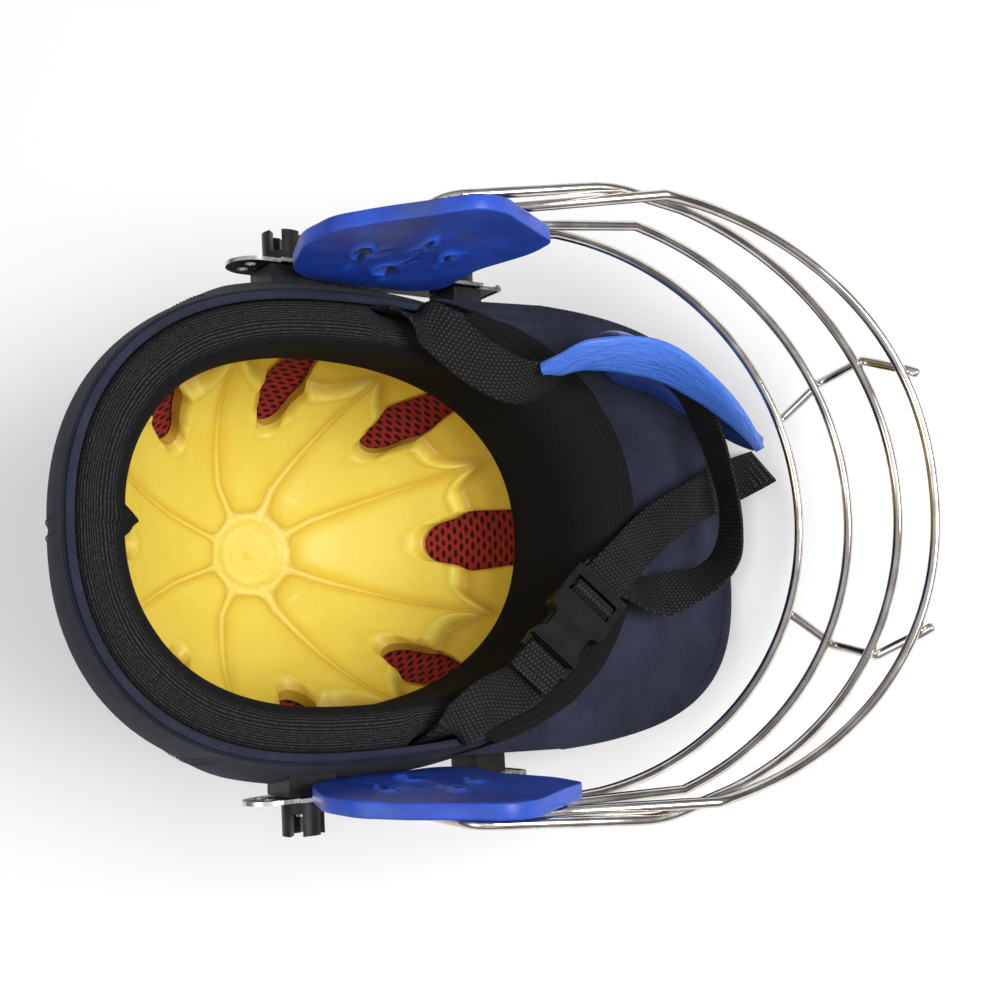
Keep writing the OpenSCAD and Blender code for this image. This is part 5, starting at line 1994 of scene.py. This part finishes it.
@dataclass
class Straps:
    """Webbing from the two anchors and the hems at its ends."""

    wall: Wall
    layers: Layers
    finishes: Finishes
    buckle: BuckleFrame = field(default_factory=BuckleFrame)
    width: float = 20.0
    thick: float = 1.4
    fit: float = 0.2
    right_x: float = -3.0
    left_x: float = 20.0
    lean: float = 0.5
    rivet_z: float = -22.0
    steps: int = 8

    @property
    def off(self) -> float:
        """Middle of the webbing in its channel, in from the outer face."""
        return self.layers.shell_in + self.layers.sag + self.thick / 2 + 1.2

    def anchor(self, z: float, side: Side = Side.RIGHT) -> np.ndarray:
        """Return the webbing's middle at a height of its channel."""
        x = self.right_x + self.lean * (z - self.rivet_z) if side is Side.RIGHT else self.left_x
        return vec((x, side.value * self.wall.y_at(x, z, self.off), z))

    def along(self, side: Side = Side.RIGHT) -> np.ndarray:
        """Find the direction across the webbing in its channel.

        Args:
            side: which webbing.

        Returns:
            The direction.
        """
        d = self.width / 2
        x, lean = (self.right_x, self.lean) if side is Side.RIGHT else (self.left_x, 0.0)
        rise = self.wall.y_at(x + d, self.rivet_z, self.off) - self.wall.y_at(x - d, self.rivet_z, self.off)
        return unit(vec((2 * d, side.value * rise, -2 * d * lean)))

    def ribbon(self, name: str, stations: Sequence[Sequence[float]],
               across: Sequence[Sequence[float]]) -> Piece:
        """Lay flat webbing along stations.

        Args:
            name: the piece's name.
            stations: helmet points of its middle line.
            across: the direction across it at each station.

        Returns:
            The piece.
        """
        path, wide = spline(stations, self.steps), spline(across, self.steps)
        dirs = headings(path)
        w, t = self.width / 2, self.thick / 2
        e = min(t, 0.55)
        half = [(-w + e * 0.3, -t * 0.75)] + [(-w + e + (2 * w - 2 * e) * k / 8, -t) for k in range(9)]
        half += [(w - e * 0.3, -t * 0.75), (w, 0)]
        section = half + [(-x, -y) for x, y in half]
        rows: Rows = []
        for i, p in enumerate(path):
            v = square_to(wide[i], dirs[i])
            up = np.cross(v, dirs[i])
            rows.append([p + x * v + (y + 0.05 * wave(i / 2.0, x)) * up for x, y in section])
        return lofted(name, rows, ring=True, caps=True)

    def right_route(self) -> tuple[list, list]:
        """Lead the right webbing from its anchor to its tail.

        Returns:
            Its stations and the directions across it.
        """
        b = self.buckle
        body_end = b.length / 2 - b.ladder_l
        turn_x, bar_x = body_end + b.ladder_slot / 2, body_end + b.ladder_slot + b.ladder_bar / 2
        top = b.ladder_t / 2 + self.thick / 2 + self.fit
        stations = [self.anchor(z) for z in (-28, -14, -3)]
        stations += [(8.5, 85.5, 3.2), (13, 83.4, 8), (20.5, 79.6, 9.6), (27.5, 73.8, 11.8), (36.4, 66.4, 14),
                     (47.5, 60.5, 15.5), (57.5, 57.5, 17), (68.8, 59, 17.8), (82.3, 65.5, 19.2),
                     (95, 71.5, 20), (112, 73, 20.3), (128, 70.3, 20.3), (142, 64.5, 20), (152, 57, 19.5),
                     (158, 46, 19), (164, 30, 19.5), (167, 12, 21.5), (168, -4, 21), (165.5, -17, 18.5),
                     (156, -26, 15), (144, -30, 11), (130, -33, 8)]
        ladder = ((28, -5.4), (17, -top - 2.6), (11, -top - 1.6), (turn_x, -1.2), (turn_x + 0.1, 1.4),
                  (bar_x - 1.6, top + 0.1), (bar_x + 0.8, top + 0.2), (bar_x + 2.7, 1.7),
                  (bar_x + 3.1, -0.8), (bar_x + 3.9, -top - 0.2), (bar_x + 7, -top - 0.7),
                  (bar_x + 11, -top - 0.2))
        stations += [b.point(x, z) for x, z in ladder]
        stations += [(112, -18, 8.4), (135, -2, 6.5), (158, 9, 6.2), (179, 18.5, 8), (200, 27, 13)]
        s = self.along()
        across = [s, s, s, (0.87, -0.07, -0.45), (0.87, 0.12, -0.25), (0.65, 0.7, 0.2), (0.5, 0.8, 0.34),
                  (0.4, 0.85, 0.36), (0.22, 0.87, 0.44), (0.1, 0.8, 0.6), (0, 0.65, 0.75), (0, 0.35, 0.93)]
        across += [(0, 0, 1)] * 5 + [(-0.12, 0, 1), (-0.24, 0, 0.96), (-0.3, 0, 0.94), (-0.22, 0, 0.95)]
        across += [(0.0, -0.1, 1), (0.25, -0.3, 0.9), (0.4, -0.6, 0.6), (0.5, -0.7, 0.4)]
        across += [b.across] * len(ladder)
        across += [(0.6, -0.8, 0.15), (0.5, -0.86, 0.1), (0.45, -0.88, 0), (0.4, -0.88, 0.2)]
        across.append((0.4, -0.6, 0.6))
        return stations, across

    def left_route(self) -> tuple[list, list]:
        """Lead the left webbing from its anchor to its folded hem.

        Returns:
            Its stations and the directions across it.
        """
        b = self.buckle
        plug_t = b.thick - 2 * b.wall - 2 * b.gap
        over = plug_t / 2 - 0.7 + self.thick / 2 + self.fit
        bar_mid = -b.length / 2 - 0.4 - b.plug_slot - b.plug_bar / 2
        stations = [self.anchor(z, Side.LEFT) for z in (-28, -14, -3)]
        stations += [(21, -83.6, 5), (27, -80, 7.5), (38, -73.5, 8.2)]
        turn = ((bar_mid - 14, -over - 1), (bar_mid - 5, -over - 0.5), (bar_mid - 0.4, -over - 0.2),
                (bar_mid + 1.8, -over), (bar_mid + 2.7, -1), (bar_mid + 2.7, 1), (bar_mid + 1.8, over),
                (bar_mid - 0.4, over + 0.2), (bar_mid - 5, over), (bar_mid - 12, 0.6))
        stations += [b.point(x, z) for x, z in turn]
        s = self.along(Side.LEFT)
        across = [s, s, s, (1, 0, 0), (0.9, -0.5, 0), (0.8, -0.7, 0)] + [b.across] * len(turn)
        return stations, across

    def bar_tacks(self, name: str, route: tuple[list, list], ends: Sequence[tuple[float, float]],
                  lift: float) -> Piece:
        """Return rows of stitches across the webbing.

        Args:
            name: the piece's name.
            route: stations and directions of the webbing.
            ends: for each row, the station's number and a shift along the webbing.
            lift: height of the thread over the webbing's middle.

        Returns:
            The piece.
        """
        path, wide = spline(route[0], self.steps), spline(route[1], self.steps)
        dirs = headings(path)
        rows = []
        for k, (station, shift) in enumerate(ends):
            i = int(round(station * self.steps))
            v = square_to(wide[i], dirs[i])
            up = np.cross(v, dirs[i])
            mid = path[i] + dirs[i] * shift + up * lift
            line = [mid + v * x for x in (-9, -4, 0, 4, 9)]
            rows.append(stitches(f"{name}_{k}", line, length=1.5, pitch=2.1, radius=0.22))
        return joined(name, rows)

    def build(self) -> None:
        """Build and dress the webbing."""
        f = self.finishes
        right, left = self.right_route(), self.left_route()
        for name, route, node in (("webbing_right", right, "chin_strap_right"),
                                  ("webbing_left", left, "chin_strap_left")):
            body = Body.HELMET if route is right else None
            piece = dress(self.ribbon(name, *route), f.webbing, body, (node,))
            if body is None:
                LAY.place(self.anchor(-3, Side.LEFT))
                LAY.place(self.buckle.point(-38, 0))
                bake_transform(piece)
        last = len(right[0]) - 1
        tail = [(last - 0.15, -s) for s in (-1.0, 2.2, 5.4, 8.6)]
        rows = [self.bar_tacks(f"tail_row_{k}", right, tail, k * (self.thick / 2 + 0.12)) for k in (-1, 1)]
        dress(joined("tail_hem_stitches", rows), f.tack, Body.HELMET)
        end = len(left[0]) - 1
        hem = [(end - 0.35, 0.0), (end - 0.1, 0.0)]
        hem_rows = self.bar_tacks("buckle_hem_stitches", left, hem, -self.thick / 2 - 0.1)
        dress(hem_rows, f.thread, Body.PLUG)


@dataclass
class Cup:
    """The chin cup: a pod of two creased leaves joined along their far edge."""

    finishes: Finishes
    thick: float = 2.2
    bow: float = 2.0
    steps: int = 10
    far: tuple[Point, ...] = (
        (61, 64, 26), (65, 66, 34), (73, 70.5, 44), (95.5, 72.5, 50), (115, 68.5, 52), (139, 56, 50),
        (161, 45, 42), (183, 32.5, 30))
    near: tuple[Point, ...] = (
        (64, 61.5, 24), (71.5, 61, 26), (80, 63, 28.5), (100, 63, 30), (121.5, 60.5, 30.5), (145.5, 53, 30.5),
        (172, 41, 28), (188, 33.5, 24))
    lining_far: tuple[Point, ...] = (
        (88, 71.6, 45), (96, 71.0, 44), (104, 69, 44), (115, 66.5, 45), (139, 54.5, 43), (161, 44, 36),
        (175, 36.5, 32), (183, 32.5, 28))
    lining_near: tuple[Point, ...] = (
        (95, 76, 22), (103, 76, 10), (111, 69, 4), (120, 62.7, 2.5), (139.5, 58.5, 2), (161, 49.5, 3),
        (180, 36.5, 12), (187, 31.5, 19))
    lining_bows: tuple[float, ...] = (-1, -3, -6, -10, -11, -9, -5, -4)

    def leaf(self, name: str, far: Sequence[Point], near: Sequence[Point], bows: Sequence[float], lift: float,
             bead: float) -> Piece:
        """Return one leaf with a rolled edge.

        Args:
            name: the piece's name.
            far: its far edge.
            near: its near edge.
            bows: how far its middle stands off the straight line between the edges, at each station.
            lift: how far the whole leaf is set back.
            bead: extra half thickness of the rolled near edge.

        Returns:
            The piece.
        """
        a, b = spline(far, self.steps), spline(near, self.steps)
        bow = spline([(v,) for v in bows], self.steps)
        last = len(a) - 1
        ks = [k / 14 for k in range(15)]
        rows: Rows = []
        for i in range(len(a)):
            run = unit(a[min(i + 1, last)] - a[max(i - 1, 0)])
            out = unit(np.cross(b[i] - a[i], run))
            loop = []
            for side, order in ((1, ks), (-1, ks[::-1])):
                for k in order:
                    t = self.thick / 2 * (0.75 if k in (0, 1) else 1) + bead * hump(k - 0.96, 0.05)
                    crease = 0.35 * wave(i / 4.5 + 2 * k, i / 13.0 + 5 * k)
                    crease += 0.18 * wave(i / 1.9, k * 9 + i / 3)
                    lean = float(bow[i][0]) * (1 - (2 * lerp(k, k * k, 0.7) - 1) ** 4)
                    rise = lean - lift + side * t + crease * (1 if 0 < k < 1 else 0.3)
                    loop.append(a[i] + (b[i] - a[i]) * k + rise * out)
            rows.append(loop)
        return lofted(name, rows, ring=True, caps=True)

    def build(self) -> None:
        """Build and dress the cup."""
        f = self.finishes
        upper = self.leaf("cup_upper_leaf", self.far, self.near, (self.bow,) * len(self.far), 0.0, 0.35)
        dress(upper, f.cup, Body.HELMET, ("chin_cup_outer",))
        # The lower leaf wears the darker leatherette as painted shade.
        lower = self.leaf("cup_lower_leaf", self.lining_far, self.lining_near, self.lining_bows,
                          self.thick + 0.4, 0.2)
        dress(lower, f.cup_painted_shade, Body.HELMET, ("chin_cup_lining",))


@dataclass
class HardParts:
    """Solids whose shape is already right and which only need their finish."""

    frame: dict
    finishes: Finishes
    soften: tuple[tuple[str, float], ...] = (
        ("side_plate_right", 0.3), ("side_plate_left", 0.3), ("rear_spacers", 0.5), ("front_spacers", 0.5),
        ("buckle_socket", 0.5), ("buckle_plug", 0.35), ("thumb_nut_rear_right", 0.45),
        ("thumb_nut_rear_left", 0.45), ("thumb_nut_front_right", 0.45), ("thumb_nut_front_left", 0.45),
        ("side_screws", 0.3), ("strap_rivets", 0.25))

    def finish_of(self, node: str) -> Material:
        """Choose the finish of a solid.

        Args:
            node: its name.

        Returns:
            The finish.
        """
        f = self.finishes
        if "plate" in node:
            return f.plate
        if "buckle" in node:
            return f.buckle
        if "screw" in node or "rivet" in node:
            return f.steel
        if node == "outer_shell":
            return f.shell
        return f.plastic

    def build(self) -> None:
        """Dress the solids and round their edges."""
        soft = dict(self.soften)
        for name, obj in sorted(self.frame["nodes"].items()):
            obj.data.materials.clear()
            obj.data.materials.append(self.finish_of(name))
            if name in soft:
                edge = obj.modifiers.new("rounded_edges", "BEVEL")
                edge.width = soft[name] / 1000
                edge.segments = 3
                edge.limit_method = "ANGLE"
                edge.angle_limit = math.radians(35)
                edge.harden_normals = False
            LOG.info("solid %s dressed", name)


# The studio
@dataclass
class Studio:
    """Camera at the photograph's angle, pale floor, world and lamps."""

    focal_px: float = 1317.0
    frame_px: float = 1000.0
    sensor_mm: float = 36.0
    tilt: Point = (-7.03, 34.50, -1.01)
    eye: Point = (-259.77, -45.99, 454.86)
    floor_half: float = 6.0
    middle: Point = (0.0, 0.0, 0.12)
    glow_low: float = 0.12
    glow_high: float = 0.62

    def camera(self) -> None:
        """Set up the camera."""
        data = bpy.data.cameras.new("view")
        data.sensor_width = self.sensor_mm
        data.lens = self.sensor_mm * self.focal_px / self.frame_px
        data.clip_start, data.clip_end = 0.01, 20
        cam = linked("view", data)
        a, b, c = (math.radians(t) for t in self.tilt)
        look = Matrix.Rotation(c, 3, "Z") @ Matrix.Rotation(b, 3, "Y") @ Matrix.Rotation(a, 3, "X")
        cam.matrix_world = (LAY.turn() @ look.transposed()).to_4x4()
        cam.location = LAY.place(self.eye)
        bpy.context.scene.camera = cam

    def floor(self) -> None:
        """Lay the pale floor."""
        mesh = bpy.data.meshes.new("studio_floor")
        h = self.floor_half
        mesh.from_pydata([(-h, -h, 0), (h, -h, 0), (h, h, 0), (-h, h, 0)], [], [(0, 1, 2, 3)])
        ground = linked("studio_floor", mesh)
        g = Graph("floor_paper", Base_Color=(0.90, 0.90, 0.90, 1.0), Roughness=0.9)
        mesh.materials.append(g.material)

    def world(self) -> None:
        """Light the scene softly from all round, with a white backdrop."""
        world = bpy.data.worlds.new("studio")
        bpy.context.scene.world = world
        world.use_nodes = True
        tree = world.node_tree
        rays = add_node(tree, "ShaderNodeLightPath").outputs
        seen = add_node(tree, "ShaderNodeMath", {0: rays["Is Camera Ray"], 1: rays["Is Transmission Ray"]},
                        operation="MAXIMUM")
        look = add_node(tree, "ShaderNodeTexCoord").outputs["Generated"]
        up = add_node(tree, "ShaderNodeSeparateXYZ", {0: look}).outputs[2]
        dome = add_node(tree, "ShaderNodeMapRange", {
            "Value": up, "From Min": 0.05, "From Max": 0.75, "To Min": self.glow_low,
            "To Max": self.glow_high}, interpolation_type="SMOOTHSTEP")
        level = add_node(tree, "ShaderNodeMapRange", {
            "Value": seen.outputs[0], "To Min": dome.outputs[0], "To Max": 1.0})
        back = tree.nodes["Background"]
        back.inputs["Color"].default_value = (1, 1, 1, 1)
        tree.links.new(level.outputs[0], back.inputs["Strength"])

    def lamp(self, name: str, at: Point, aim: Point, size: float, power: float) -> None:
        """Hang a square soft lamp.

        Args:
            name: its name.
            at: where it hangs, in metres.
            aim: what it points at.
            size: its side in metres.
            power: its power in watts.
        """
        data = bpy.data.lights.new(name, "AREA")
        data.shape, data.size, data.energy = "SQUARE", size, power
        lamp = linked(name, data)
        lamp.location = at
        lamp.rotation_euler = (Vector(aim) - Vector(at)).to_track_quat("-Z", "Y").to_euler()

    def build(self) -> None:
        """Set up the studio."""
        view = bpy.context.scene.view_settings
        view.view_transform = "Standard"
        self.camera()
        self.floor()
        self.world()
        self.lamp("key", (1.25, -0.05, 1.4), self.middle, 0.8, 27.5)
        self.lamp("fill", (-0.9, -0.5, 1.6), self.middle, 1.1, 7)
        self.lamp("top", (0.22, -0.10, 1.75), self.middle, 0.9, 1.5)


def main() -> None:
    """Load the frame and build every sub-assembly."""
    logging.basicConfig(level=logging.INFO, format="%(name)s: %(message)s")
    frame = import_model()
    Studio().build()
    finishes = Finishes()
    wall, layers = Wall(), Layers()
    HardParts(frame, finishes).build()
    Cover(wall, layers, finishes).build()
    Peak(wall, finishes).build()
    Lining(wall, layers, finishes).build()
    Headband(wall, layers, finishes).build()
    Guard(finishes).build()
    Straps(wall, layers, finishes).build()
    Cup(finishes).build()


if __name__ == "__main__":
    main()
